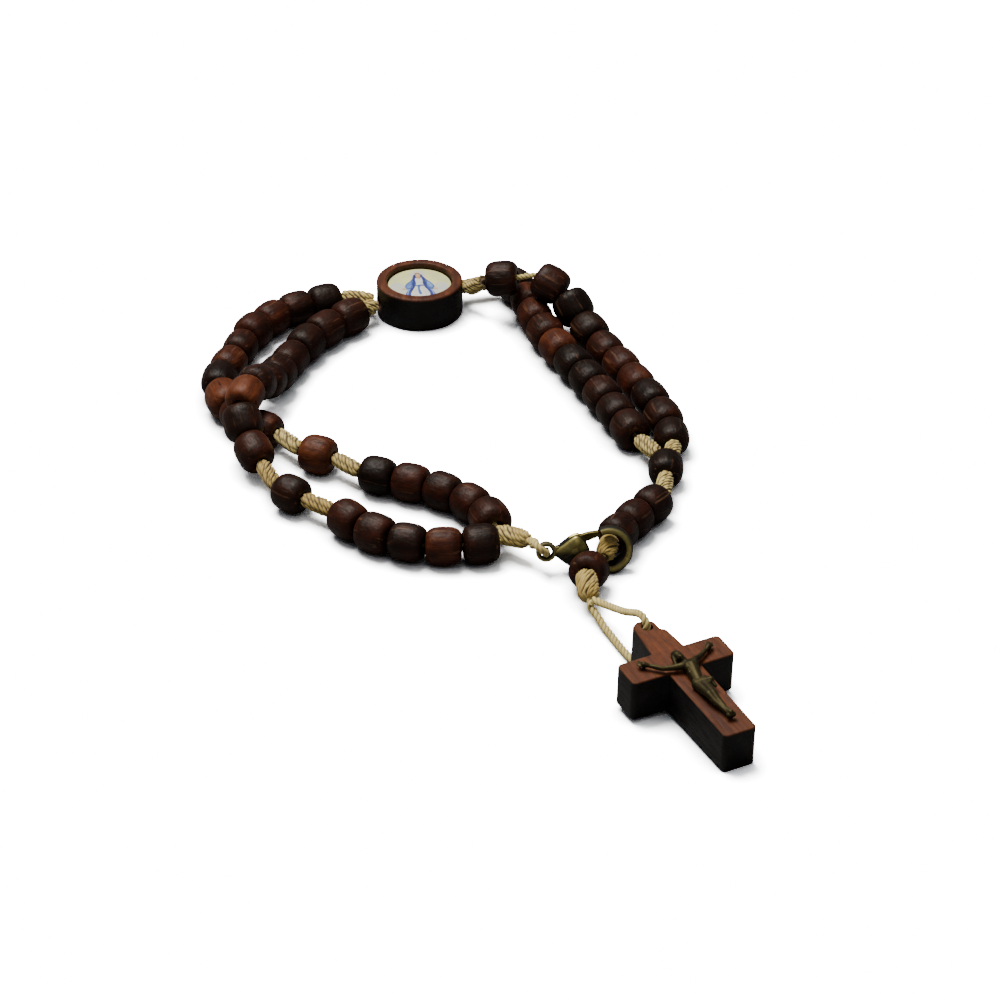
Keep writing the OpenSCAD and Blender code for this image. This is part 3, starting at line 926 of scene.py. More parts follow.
@dataclass
class WoundKnots:
    """Knots wound from the cord, and the short stretches of cord that show between the solids."""

    cord: Cord = field(default_factory=lambda: Cord(step=0.16, sides=6))
    strand_d: float = 0.47
    slope: float = 38.0
    leaf: float = 1.3
    past: float = 0.42
    end_r: float = 0.92
    thin: float = 0.8
    overlap: float = 0.94
    rings_per_mm: int = 9
    near: float = 1.5
    reach: float = 4.5
    shaded: float = 1.7
    inside: float = 0.45
    core_sides: int = 14

    def row_of(self, knot: Turned) -> KnotRow:
        """The knot's row, its own or the common one, with the end at the lower end of its axis first."""
        def away(row: KnotRow) -> float:
            """How far the knot lies from the row's place."""
            return math.hypot(row.x - knot.centre[0], row.y - knot.centre[1])

        row = min(KNOTS, key=away)
        if away(row) > self.near:
            yellow = 0.85 if knot.centre[0] < 0 and knot.centre[1] < 4 else 0.3
            return KnotRow(0, 0, self.past, self.past, yellow, 0.05, self.end_r, self.end_r, 0.12)
        return row if knot.axis[1] < 0 else row.other_way()

    def wind(self, builder: MeshBuilder, knot: Turned, number: int) -> None:
        """Adds one wound knot: slanting strands of uneven thickness with painted shade in the gaps between
        them, round a core painted dark as shade.
        """
        basis, row = knot.basis(), self.row_of(knot)
        low, high = -knot.length / 2 - row.before, knot.length / 2 + row.after
        width = self.strand_d * (self.thin if row.gap_shade > 0.3 else 1.0)
        outer_d = knot.diameter + 2 * row.thicker
        round_it = math.pi * (outer_d - width)
        slope = math.radians(self.slope)
        strands = int(round(round_it * math.cos(slope) / (width * self.overlap)))
        turns = (high - low) * math.tan(slope) / round_it
        t = np.linspace(0.0, 1.0, max(24, int((high - low) * self.rings_per_mm)) + 1)
        rise = np.clip(1.0 - np.abs(2 * t - 1) ** 3.5, 0.0, 1.0) ** 0.7
        end_r = row.first_r + (row.last_r - row.first_r) * t
        envelope = end_r + (outer_d / 2 - end_r + 0.05) * rise

        def placed(r: np.ndarray, angle: np.ndarray, height: np.ndarray) -> np.ndarray:
            """Places about the knot's axis."""
            spots = np.broadcast_arrays(r * np.cos(angle), r * np.sin(angle), height)
            return knot.centre + np.stack(spots, -1) @ basis

        heights = low + (high - low) * t
        middle = placed(0 * t, 0 * t, heights)
        for strand in range(strands):
            uneven = np.array([noise.noise(Vector((v * 2.3, number * 1.7, strand * 2.9))) for v in t])
            along = t * (high - low) / self.leaf + strand * 0.618 + 0.4 * uneven
            leaf = np.abs(np.sin(math.pi * along))
            angle = 2 * math.pi * (turns * t + strand / strands) + 0.3 * uneven + number
            r = envelope - width / 2 + 0.05 * uneven + 0.07 * (leaf - 0.7)
            builder.tube(placed(r, angle, heights), width / 2 * (0.76 + 0.34 * leaf), 7,
                         row.yellow + 0.25 * float(uneven[0]), middle, envelope, (1.0, row.gap_shade))
        # The core is painted fully dark, as the shade that lies between the strands.
        core = envelope[::3, None] - width * 0.66
        rings = placed(core, angles_round(self.core_sides)[None, :], heights[::3, None])
        builder.grid(rings, 0.9, painted_shade=np.ones(rings.shape[:2]))

    def build(self, knots: List[Turned], wound: bpy.types.Material) -> None:
        """Builds all the knots as one piece."""
        builder = MeshBuilder()
        for number, knot in enumerate(knots):
            self.wind(builder, knot, number)
        hand_in(builder.build("wound_knots", [wound]), Slot.CORD, Body.BRACELET, "knots")

    def build_strands(self, solids: List[Turned], strand: bpy.types.Material) -> None:
        """Builds the short stretches of cord from each solid's end to the nearest other end."""
        ends = [(solid, sign) for solid in solids for sign in (-1, 1)]
        places = [solid.end(sign) for solid, sign in ends]
        pairs: Dict[Tuple[int, int], None] = {}
        alone = []
        for i, (solid, _) in enumerate(ends):
            others = [j for j, (other, _) in enumerate(ends) if other is not solid]
            best = min(others, key=lambda j: float(np.linalg.norm(places[j] - places[i])))
            if np.linalg.norm(places[best] - places[i]) < self.reach:
                pairs[(min(i, best), max(i, best))] = None
            else:
                alone.append(i)
        builder = MeshBuilder()
        for i, j in pairs:
            (a, sa), (b, sb) = ends[i], ends[j]
            route = [a.end(sa, -a.length * self.inside), places[i], places[j],
                     b.end(sb, -b.length * self.inside)]
            # Where two ends lie close, the cord is a thin tube painted fully dark, as the shade it lies in.
            if np.linalg.norm(places[i] - places[j]) < self.shaded:
                builder.tube(smooth_line(route, 8), 0.3, 8, 0.9, painted_shade=1.0)
            else:
                self.cord.lay(builder, smooth_line(route, 8), 0.2, i * 1.3)
        for i in alone:
            solid, sign = ends[i]
            stub = np.array([solid.end(sign, beyond) for beyond in (-0.5, 0.3, 1.4)])
            self.cord.lay(builder, stub, 0.2, i)
        made = builder.build("strand_cord", [strand])
        hand_in(made, Slot.CORD, Body.BRACELET, "thread", "tail_thread")


@dataclass
class CrossCord:
    """The free cord from the last knot through the head of the cross and back."""

    diameter: float = 1.1
    route: Tuple[Point, ...] = (
        (19.8, -29.8, 3.1), (20.7, -30.6, 3.3), (21.9, -32.2, 3.8), (23.1, -34.5, 4.8), (24.3, -37.1, 6.1),
        (25.2, -39, 7.3), (25.9, -40.7, 8.3), (26.5, -42, 8.6), (26.95, -42.95, 8), (27, -43, 6),
        (26.95, -42.9, 3.5), (26.9, -42.8, 1.6), (26.5, -42.3, 0.6), (25.6, -41.6, 0.57),
        (24.9, -40.7, 0.57), (23.7, -38.3, 0.57), (22.2, -34.9, 0.6), (21.3, -33.1, 0.8), (20.5, -31.5, 1.3),
        (19.4, -29.9, 2))

    def build(self, strand: bpy.types.Material) -> None:
        line = smooth_line(self.route, 8)
        builder = MeshBuilder()
        Cord(self.diameter + 0.1, 3, 2.7, 8, 0.15, 0.27).lay(builder, line, 0.1)
        made = builder.build("cross_cord_twisted", [strand])
        hand_in(made, Slot.CORD, Body.BRACELET, "cross_cord")


# Clasp


@dataclass
class Clasp:
    """The lobster clasp, in its own frame.

    The frame starts at the eye's middle, with +X to the hook, +Y up its face and +Z out of its front.
    """

    place: Point = (13.1, -17.6, 3.5)
    turn: float = 3.5
    lean: float = 76.0
    eye_r: float = 1.2
    eye_w: float = 0.36
    eye_depth: float = 0.62
    eye_power: float = 0.8
    ring_at: Flat = (9.3, 0.2)
    ring_r: float = 2.95
    ring_w: float = 0.56
    ring_depth: float = 1.0
    draft: float = 0.22
    hook_sides: int = 28
    tip_angle: float = 113.0
    pivot: Flat = (4.7, 1.5)
    bar: Tuple[Flat, ...] = (
        (4.4, 0.9), (5.5, 1.3), (7.0, 1.85), (7.84, 2.2), (7.8, 3.02), (6.2, 2.86), (4.75, 2.4), (4.1, 1.8))
    bar_depth: float = 0.86
    slot_depth: float = 1.0
    dome_t: float = 1.37

    def placed(self, points: Iterable[Sequence[float]]) -> np.ndarray:
        """Points of the clasp's frame, in the part's frame."""
        turn, lean = math.radians(self.turn), math.radians(self.lean)
        turned = Matrix.Rotation(turn, 4, "Z") @ Matrix.Rotation(lean, 4, "X")
        made = np.array(Matrix.Translation(self.place) @ turned)
        return np.asarray(points) @ made[:3, :3].T + made[:3, 3]

    def dome_shade(self, flat: np.ndarray) -> np.ndarray:
        """The painted shade on a dome: darker towards its lower edge, and close to the hook."""
        low = np.clip(0.85 - flat[:, 1] + 0.12 * (flat[:, 0] - 4.0), 0.0, 0.95)
        return low + 0.4 * np.clip(flat[:, 0] - 5.2, 0.0, 0.9)

    def plate(self, name: str, corners: Sequence[Flat], centre: Flat, thickness: float,
              metal: bpy.types.Material, rim: float, rim_t: float, fullness: float) -> bpy.types.Object:
        """A plate with a domed front and back, and a flat rim round both domes, with shade painted on the
        rim and on the domes' lower parts.

        Args:
            name: the object's name.
            corners: the dome's corners, rounded by a smooth line.
            centre: the middle that the dome falls away from.
            thickness: half the thickness at the middle.
            metal: its material.
            rim: how wide the flat rim is.
            rim_t: half the rim's thickness.
            fullness: how square the dome's section is.
        Returns:
            The object.
        """
        inner = closed_line(corners, 8)
        middle = np.array([centre[0], centre[1], 0.0])
        away = inner - middle
        outer = inner + rim * away / np.linalg.norm(away, axis=1)[:, None]
        rows = []
        for t in np.linspace(0.0, math.pi / 2, 14):
            height = rim_t + (thickness - rim_t) * math.cos(t) ** (2 / fullness)
            rows.append((middle + away * max(math.sin(t) ** (2 / fullness), 0.002), height, False))
        for part, lower in ((0.04, 0.01), (0.7, 0.02), (1.0, 0.1)):
            rows.append((inner * (1.0 - part) + outer * part, rim_t - lower, True))
        rows += [(flat, -height, dark) for flat, height, dark in reversed(rows)]
        rings = [self.placed(flat + np.array([0.0, 0.0, height])) for flat, height, _ in rows]
        # Painted shade: the rim is painted fully dark, and each dome gets darker towards its lower edge.
        painted_shade = [np.ones(len(inner)) if dark else self.dome_shade(flat) for flat, _, dark in rows]
        builder = MeshBuilder()
        builder.grid(np.array(rings), painted_shade=np.array(painted_shade))
        return builder.build(name, [metal])

    def section(self, size: float) -> np.ndarray:
        """The hook's section, flat inside and round outside, as how far out and how deep each point lies."""
        ring = []
        for a in angles_round(self.hook_sides):
            c, s = math.cos(a), math.sin(a)
            across = signed_power(c, 0.9 if c > 0 else 0.3) * self.ring_w
            across *= size if c > 0 else min(size, 1.0)
            deep = signed_power(s, 0.7) * self.ring_depth * (0.4 + 0.6 * min(size, 1.0))
            ring.append((across - self.draft * (self.ring_depth - deep) * (c < 0), deep))
        return np.array(ring)

    def swept(self, name: str, path: np.ndarray, widths: Sequence[float], metal: bpy.types.Material
              ) -> bpy.types.Object:
        """The hook's bar along a path in the clasp's plane, as wide as the widths spread along it."""
        tangents = np.gradient(path, axis=0)
        tangents /= np.linalg.norm(tangents, axis=1)[:, None]
        outward = np.stack([tangents[:, 1], -tangents[:, 0], 0 * tangents[:, 0]], 1)
        sizes = np.interp(np.linspace(0, 1, len(path)), np.linspace(0, 1, len(widths)), widths)
        rings = []
        for place, out, size in zip(path, outward, sizes):
            across, deep = self.section(size).T[:, :, None]
            rings.append(self.placed(place + out * across + np.array([0.0, 0.0, 1.0]) * deep))
        angles = angles_round(self.hook_sides)
        c, s = np.cos(angles), np.sin(angles)
        # Painted shade on the hook's inner and outer sides and on its back, which leaves a painted highlight
        # along its front crest.
        shade = np.minimum(1.0, 3.0 * np.maximum(0.0, -c) + 1.4 * np.maximum(0.0, c - 0.1))
        builder = MeshBuilder()
        builder.grid(np.array(rings), painted_shade=np.tile(np.where(s < -0.3, 1.0, shade), (len(path), 1)))
        return builder.build(name, [metal])

    def eye(self, metal: bpy.types.Material) -> bpy.types.Object:
        """The round eye that the cord goes through."""
        rings, painted_shades = [], []
        section = angles_round(20)
        for a in angles_round(48):
            ring = []
            for b in section:
                r = self.eye_r + self.eye_w * signed_power(math.cos(b), self.eye_power)
                deep = self.eye_depth * signed_power(math.sin(b), self.eye_power)
                ring.append((r * math.cos(a), r * math.sin(a), deep))
            rings.append(self.placed(ring))
            # Painted shade: dark on the eye's inner side, and darker towards its top.
            painted_shades.append([0.9 if math.cos(b) < -0.3 else 0.45 + 0.4 * math.sin(a) for b in section])
        builder = MeshBuilder()
        builder.grid(np.array(rings), closed=True, painted_shade=np.array(painted_shades))
        return builder.build("eye", [metal])

    def box_tool(self, corners: Sequence[Flat], depth: float) -> bpy.types.Object:
        """A straight plate, as thick as the depth."""
        low, high = (self.placed([(x, y, z) for x, y in corners]) for z in (-depth / 2, depth / 2))
        return prism("plate", low, high, [])

    def build_body(self, metal: bpy.types.Material) -> None:
        """Builds the eye, the neck, the domed body with its slot, and the hook."""
        dome = [(1.58, -0.2), (1.57, 0.38), (2.9, 1.5), (3.9, 2.25), (4.43, 2.45), (4.95, 2.3), (5.35, 1.9),
                (5.9, 0.95), (6.3, 0.0), (6.25, -0.8), (5.7, -1.5), (4.8, -2.05), (3.84, -2.15),
                (2.75, -1.5), (1.87, -0.77)]
        slot = [(3.4, 0.5), (3.4, 4.0), (8.0, 4.0), (8.0, 2.3), (7.0, -0.2), (5.3, -0.3)]
        shell = self.plate("shell", dome, (4.25, 0.35), self.dome_t, metal, 0.24, 0.55, 2.1)
        shell = cut(shell, self.box_tool(slot, self.slot_depth))
        angles = np.radians(np.linspace(250.0, 360.0 + self.tip_angle, 90))
        x, y = self.ring_at
        ring = np.stack([x + self.ring_r * np.cos(angles), y + self.ring_r * np.sin(angles), 0 * angles], 1)
        lead = [(4.7, -1.7, 0), (5.6, -2.0, 0), (6.6, -2.25, 0), (7.5, -2.4, 0), tuple(ring[0])]
        path = np.concatenate([smooth_line(lead, 8)[:-1], ring])
        widths = [1.0] * 4 + [1.5, 1.6, 1.4, 1.15, 1.0, 1.0, 1.0, 0.95, 0.85]
        hook = self.swept("hook", path, widths, metal)
        throat = [(1.1, -0.5), (1.1, 0.5), (2.0, 0.85), (2.3, 0.0), (2.0, -0.85)]
        neck = self.plate("neck", throat, (1.7, 0.0), 0.58, metal, 0.02, 0.5, 3.5)
        made = joined("clasp_body_cast", [shell, self.eye(metal), neck, hook])
        hand_in(made, Slot.METAL, Body.BRACELET, "clasp_body")

    def build_lever(self, metal: bpy.types.Material) -> None:
        """Builds the sprung lever that closes the hook."""
        bar = self.box_tool(self.bar, self.bar_depth)
        bevel = bar.modifiers.new("bevel", "BEVEL")
        bevel.width = 0.14 * MM
        bevel.segments = 3
        bar.data.materials.append(metal)
        applied(bar)
        x, y = self.pivot
        rings = []
        for z, r in ((-0.45, 0.55), (-0.45, 0.68), (-0.38, 0.74), (0.38, 0.74), (0.45, 0.68), (0.45, 0.55)):
            rings.append(self.placed([(x + r * math.cos(a), y + r * math.sin(a), z)
                                      for a in angles_round(32)]))
        hub = MeshBuilder()
        hub.grid(np.array(rings))
        made = joined("clasp_lever_bar", [hub.build("hub", [metal]), bar])
        hand_in(made, Slot.METAL, Body.LEVER, "clasp_lever")

    def build_tie(self, strand: bpy.types.Material) -> None:
        """Builds the cord that ties the clasp's eye to the strand."""
        front = [(6.35, -12.3, 3.1), (8.8, -14.3, 3.8), (11.3, -16.3, 4.5), (11.6, -18.3, 5.2),
                 (12.3, -19.2, 4.9), (13.15, -18.5, 3.75), (13.07, -17.1, 3.4)]
        behind = self.placed([(0.0, 0.0, 0.1), (-0.5, 0.1, -1.1), (-1.5, 0.4, -1.25), (-2.15, 0.9, -0.2)])
        back = list(behind) + [(11.1, -16.9, 4.6), (9.6, -15.2, 4.1)]
        builder = MeshBuilder()
        Cord(1.15, 3, 2.2, 8, 0.13, 0.27).lay(builder, smooth_line(front, 10), 0.2)
        Cord(0.9, 3, 1.9, 8, 0.13, 0.27).lay(builder, smooth_line(back, 10), 0.5)
        hand_in(builder.build("clasp_tie_cord", [strand]), Slot.CORD, Body.BRACELET, "clasp_tie")


# Medal


@dataclass
class Medal:
    """The round wooden frame and its picture."""

    place: Point = (-7.0, 60.1, 0.0)
    radius: float = 7.1
    height: float = 5.9
    rim: float = 1.65
    recess: float = 1.4
    soft: float = 0.42
    channel_z: float = 2.75
    channel_turn: float = 17.0
    channel_d: float = 2.7
    channel_reach: float = 9.0
    uneven: float = 0.05
    picture_turn: float = 6.5
    figure_width: float = 0.96
    figure_rise: float = 1.2
    figure_shift: float = -0.15
    waist_y: float = -0.4
    sides: int = 128

    def outline(self) -> List[Tuple[float, float, float]]:
        """The turned frame's outline from its underside to the recess, as radius, height and burn."""
        inner, floor_z, soft = self.radius - self.rim, self.height - self.recess, self.soft
        top = self.height
        made = [(0.01, 0.0, 1.0), (self.radius - 0.35, 0.0, 1.0), (self.radius - 0.08, 0.12, 1.0),
                (self.radius, 0.4, 1.0)]
        made += [(self.radius, z, 1.0) for z in np.linspace(0.8, top - soft - 0.1, 8)]
        for t in np.linspace(0.1, math.pi / 2, 8):
            burn = max(0.0, 0.75 - 1.3 * t)
            made.append((self.radius - soft + soft * math.cos(t), top - soft + soft * math.sin(t), burn))
        half = soft / 2
        for t in np.linspace(math.pi / 2, math.pi, 6):
            made.append((inner + half + half * math.cos(t), top - half + half * math.sin(t), 0.0))
        made += [(inner - 0.02, z, 0.45) for z in np.linspace(top - half - 0.2, floor_z, 4)]
        return made + [(0.01, floor_z, 0.9)]

    def build_frame(self, wood: bpy.types.Material) -> None:
        """Builds the turned frame, with the channel cut through it."""
        outline = self.outline()
        angles = angles_round(self.sides)
        x, y, _ = self.place
        rings = []
        for r, z, _ in outline:
            ring = []
            for a in angles:
                c, s = math.cos(a), math.sin(a)
                wave = self.uneven * noise.noise(Vector((c * 2, s * 2, z * 0.4))) * (r > 1)
                ring.append((x + (r + wave) * c, y + (r + wave) * s, z + wave * (z > 4) * 0.8))
            rings.append(ring)
        flat = np.array(rings)
        builder = MeshBuilder()
        builder.grid(flat, places=flat[..., [0, 2, 1]])
        builder.tones = [np.repeat([burn for _, _, burn in outline], self.sides)]
        made = builder.build("medal_frame_turned", [wood])
        turn = math.radians(self.channel_turn)
        along = np.array([math.cos(turn), math.sin(turn), 0.0]) * self.channel_reach
        middle = np.array([x, y, self.channel_z])
        tool = MeshBuilder()
        tool.tube(np.array([middle - along, middle, middle + along]), self.channel_d / 2, 32, 1.0)
        made = cleaned(cut(made, tool.build("tool", [wood])), 50.0)
        hand_in(made, Slot.MEDAL, Body.BRACELET, "medal_frame")

    def shape(self, name: str, corners: Sequence[Flat], level: int, paint: bpy.types.Material, smoothing: int
              ) -> bpy.types.Object:
        """One painted shape of the picture.

        Args:
            name: the object's name.
            corners: its corners, in the picture's own frame.
            level: how many hair's breadths it lies above the ground, which is 0.
            paint: its material.
            smoothing: the steps between two corners, 1 for a shape with sharp corners.
        Returns:
            The object.
        """
        if level:
            waist = self.waist_y
            corners = [(self.figure_width * x + self.figure_shift,
                        y if y < waist else waist + (y - waist) * self.figure_rise) for x, y in corners]
        turn = math.radians(self.picture_turn)
        top = self.height - self.recess + 0.4 + 0.008 * level
        limit = self.radius - self.rim - 0.2
        points = []
        for x, y, _ in closed_line(corners, smoothing):
            inside = min(1.0, limit / max(math.hypot(x, y), 0.01))
            x, y = x * inside, y * inside
            points.append((self.place[0] + x * math.cos(turn) - y * math.sin(turn),
                           self.place[1] + x * math.sin(turn) + y * math.cos(turn)))
        low, high = ([(x, y, z) for x, y in points] for z in (top - 0.03, top))
        return prism(name, low, high, [paint], smooth=False)

    def build_picture(self) -> None:
        """Builds the picture: a calm robed figure of a traditional kind on a cloudy ground."""
        sky = Paint("sky", rgb(220, 222, 158), rgb(202, 208, 152), 330.0).make()
        cloud = Paint("cloud", rgb(190, 198, 196), rgb(206, 206, 180), 600.0).make()
        mantle = Paint("mantle", rgb(78, 108, 178), rgb(44, 58, 128), 900.0).make()
        light_blue = Paint("light_blue", rgb(122, 154, 204), rgb(84, 112, 180), 1100.0).make()
        line_blue = Paint("line_blue", rgb(36, 42, 84), rgb(52, 62, 110), 1200.0).make()
        shade = Paint("shade", rgb(40, 42, 124), rgb(66, 78, 164), 1000.0).make()
        dress = Paint("dress", rgb(216, 220, 212), rgb(186, 196, 206), 900.0).make()
        veil = Paint("veil", rgb(214, 208, 184), rgb(186, 176, 150), 1600.0).make()
        skin = Paint("skin", rgb(214, 178, 142), rgb(202, 158, 124), 900.0).make()
        line = Paint("line", rgb(112, 94, 74), rgb(92, 76, 62), 1200.0).make()

        def oval(x: float, y: float, wide: float, high: float) -> List[Flat]:
            """An oval about a middle."""
            return [(x + wide * math.cos(a), y + high * math.sin(a)) for a in angles_round(20)]

        rows = [
            ("ground", [(5.2 * math.cos(a), 5.2 * math.sin(a)) for a in angles_round(48)], 0, sky, 1),
            ("cloud_left", [(-5, -0.4), (-3.9, 0.7), (-2.9, 0.4), (-2.0, -1.0), (-2.4, -4.0), (-4.6, -3.0)],
             1, cloud, 5),
            ("cloud_right", [(5, -0.8), (4.1, 0.4), (3.0, 0.1), (2.2, -1.4), (2.6, -4.0), (4.6, -3.0)], 1,
             cloud, 5),
            ("halo", oval(0.15, 2.5, 1.3, 1.35), 1, cloud, 2),
            ("veil",
             [(0.15, 3.45), (0.6, 3.25), (0.85, 2.6), (1.15, 1.7), (1.0, 0.8), (0.2, 0.4), (-0.75, 0.9),
              (-0.85, 1.7), (-0.6, 2.6), (-0.3, 3.25)], 3, veil, 5),
            ("dress",
             [(-0.2, 1.9), (0.5, 1.9), (0.85, 0.9), (0.7, -0.4), (1.3, -1.8), (1.7, -3.9), (1.5, -5.0),
              (-1.5, -5.0), (-1.6, -3.9), (-1.0, -1.8), (-0.35, -0.4), (-0.55, 0.9)], 4, dress, 5),
            ("mantle_left",
             [(-0.5, 2.7), (-0.3, 2.2), (-0.45, 1.2), (-0.4, 0.2), (-0.75, -0.9), (-1.2, -1.9), (-1.6, -3.2),
              (-1.5, -5.0), (-2.6, -5.0), (-2.55, -3.4), (-2.1, -2.0), (-1.75, -1.0), (-1.3, 0.4),
              (-1.0, 1.2), (-0.8, 2.0)], 5, shade, 5),
            ("mantle_right",
             [(0.75, 2.8), (0.6, 2.2), (0.8, 1.2), (0.8, 0.2), (1.0, -0.9), (1.4, -1.9), (1.7, -3.2),
              (1.5, -5.0), (2.7, -5.0), (2.65, -3.6), (2.3, -2.2), (2.1, -1.0), (1.7, 0.5), (1.3, 1.4),
              (1.0, 2.1)], 5, shade, 5),
            ("sleeve_left",
             [(-0.85, 1.5), (-1.35, 0.9), (-2.0, 0.3), (-2.4, -0.5), (-2.3, -1.4), (-1.7, -1.5),
              (-1.2, -1.0), (-0.85, 0.0)], 6, mantle, 5),
            ("sleeve_right",
             [(1.1, 1.7), (1.6, 1.1), (2.2, 0.3), (2.65, -0.7), (2.5, -1.6), (1.9, -1.6), (1.4, -0.9),
              (1.05, 0.2)], 6, mantle, 5),
            ("gleam_left",
             [(-1.3, 0.5), (-1.8, 0.1), (-2.1, -0.7), (-1.9, -1.2), (-1.5, -0.9), (-1.2, -0.2)], 7,
             light_blue, 5),
            ("gleam_right", [(1.6, 0.6), (2.1, 0.1), (2.4, -0.8), (2.1, -1.4), (1.8, -1.0), (1.5, -0.2)], 7,
             light_blue, 5),
            ("fold_left",
             [(-0.75, 1.6), (-0.65, 0.6), (-0.95, -0.8), (-1.1, -0.8), (-0.85, 0.6), (-0.9, 1.6)], 8,
             line_blue, 4),
            ("fold_right", [(1.05, 1.7), (0.95, 0.6), (1.2, -0.8), (1.35, -0.8), (1.15, 0.6), (1.2, 1.7)], 8,
             line_blue, 4),
            ("hem_left",
             [(-1.5, -1.45), (-1.85, -2.2), (-2.1, -3.6), (-2.15, -4.9), (-2.4, -4.9), (-2.3, -3.4),
              (-2.1, -2.2), (-1.9, -1.5)], 6, light_blue, 4),
            ("hem_right",
             [(1.7, -1.45), (2.0, -2.2), (2.2, -3.6), (2.25, -4.9), (2.5, -4.9), (2.45, -3.4), (2.3, -2.2),
              (2.15, -1.5)], 6, light_blue, 4),
            ("hand_left", [(-2.3, -1.05), (-2.65, -0.95), (-3.0, -1.3), (-2.9, -1.5), (-2.3, -1.4)], 7, skin,
             4),
            ("hand_right", [(2.5, -1.3), (2.85, -1.3), (3.15, -1.75), (3.05, -1.95), (2.5, -1.65)], 7, skin,
             4),
            ("belt", [(-0.4, -0.25), (0.75, -0.2), (0.8, -0.5), (-0.45, -0.55)], 6, mantle, 2),
            ("sash", [(-0.2, -0.4), (0.2, -0.4), (0.1, -1.6), (0.3, -3.2), (-0.15, -3.2), (-0.25, -1.6)], 7,
             mantle, 4),
            ("dress_fold", [(0.75, -1.0), (0.85, -1.0), (1.15, -4.8), (0.95, -4.8)], 6, cloud, 3),
            ("hair",
             [(0.15, 3.15), (0.5, 2.95), (0.62, 2.4), (0.6, 1.9), (0.45, 1.7), (-0.2, 1.7), (-0.45, 1.9),
              (-0.42, 2.5), (-0.2, 3.0)], 5, line, 5),
            ("face", oval(0.13, 2.38, 0.36, 0.56), 6, skin, 2),
            ("neck", [(-0.05, 1.95), (0.33, 1.95), (0.4, 1.5), (-0.12, 1.5)], 6, skin, 3),
            ("brow_left", [(-0.1, 2.54), (0.05, 2.56), (0.05, 2.52), (-0.1, 2.5)], 7, line, 1),
            ("brow_right", [(0.36, 2.54), (0.21, 2.56), (0.21, 2.52), (0.36, 2.5)], 7, line, 1),
            ("eye_left", oval(-0.02, 2.43, 0.06, 0.025), 7, line, 1),
            ("eye_right", oval(0.28, 2.43, 0.06, 0.025), 7, line, 1),
            ("nose", [(0.11, 2.39), (0.15, 2.39), (0.18, 2.21), (0.08, 2.21)], 7, veil, 1),
            ("mouth", [(0.03, 2.1), (0.23, 2.1), (0.18, 2.05), (0.08, 2.05)], 7, line, 1)]
        made = joined("medal_picture_print", [self.shape(*row) for row in rows])
        hand_in(made, Slot.PICTURE, Body.BRACELET, "medal_picture")


# Cross and its figure


Limb = Tuple[Point, Point, float, float]


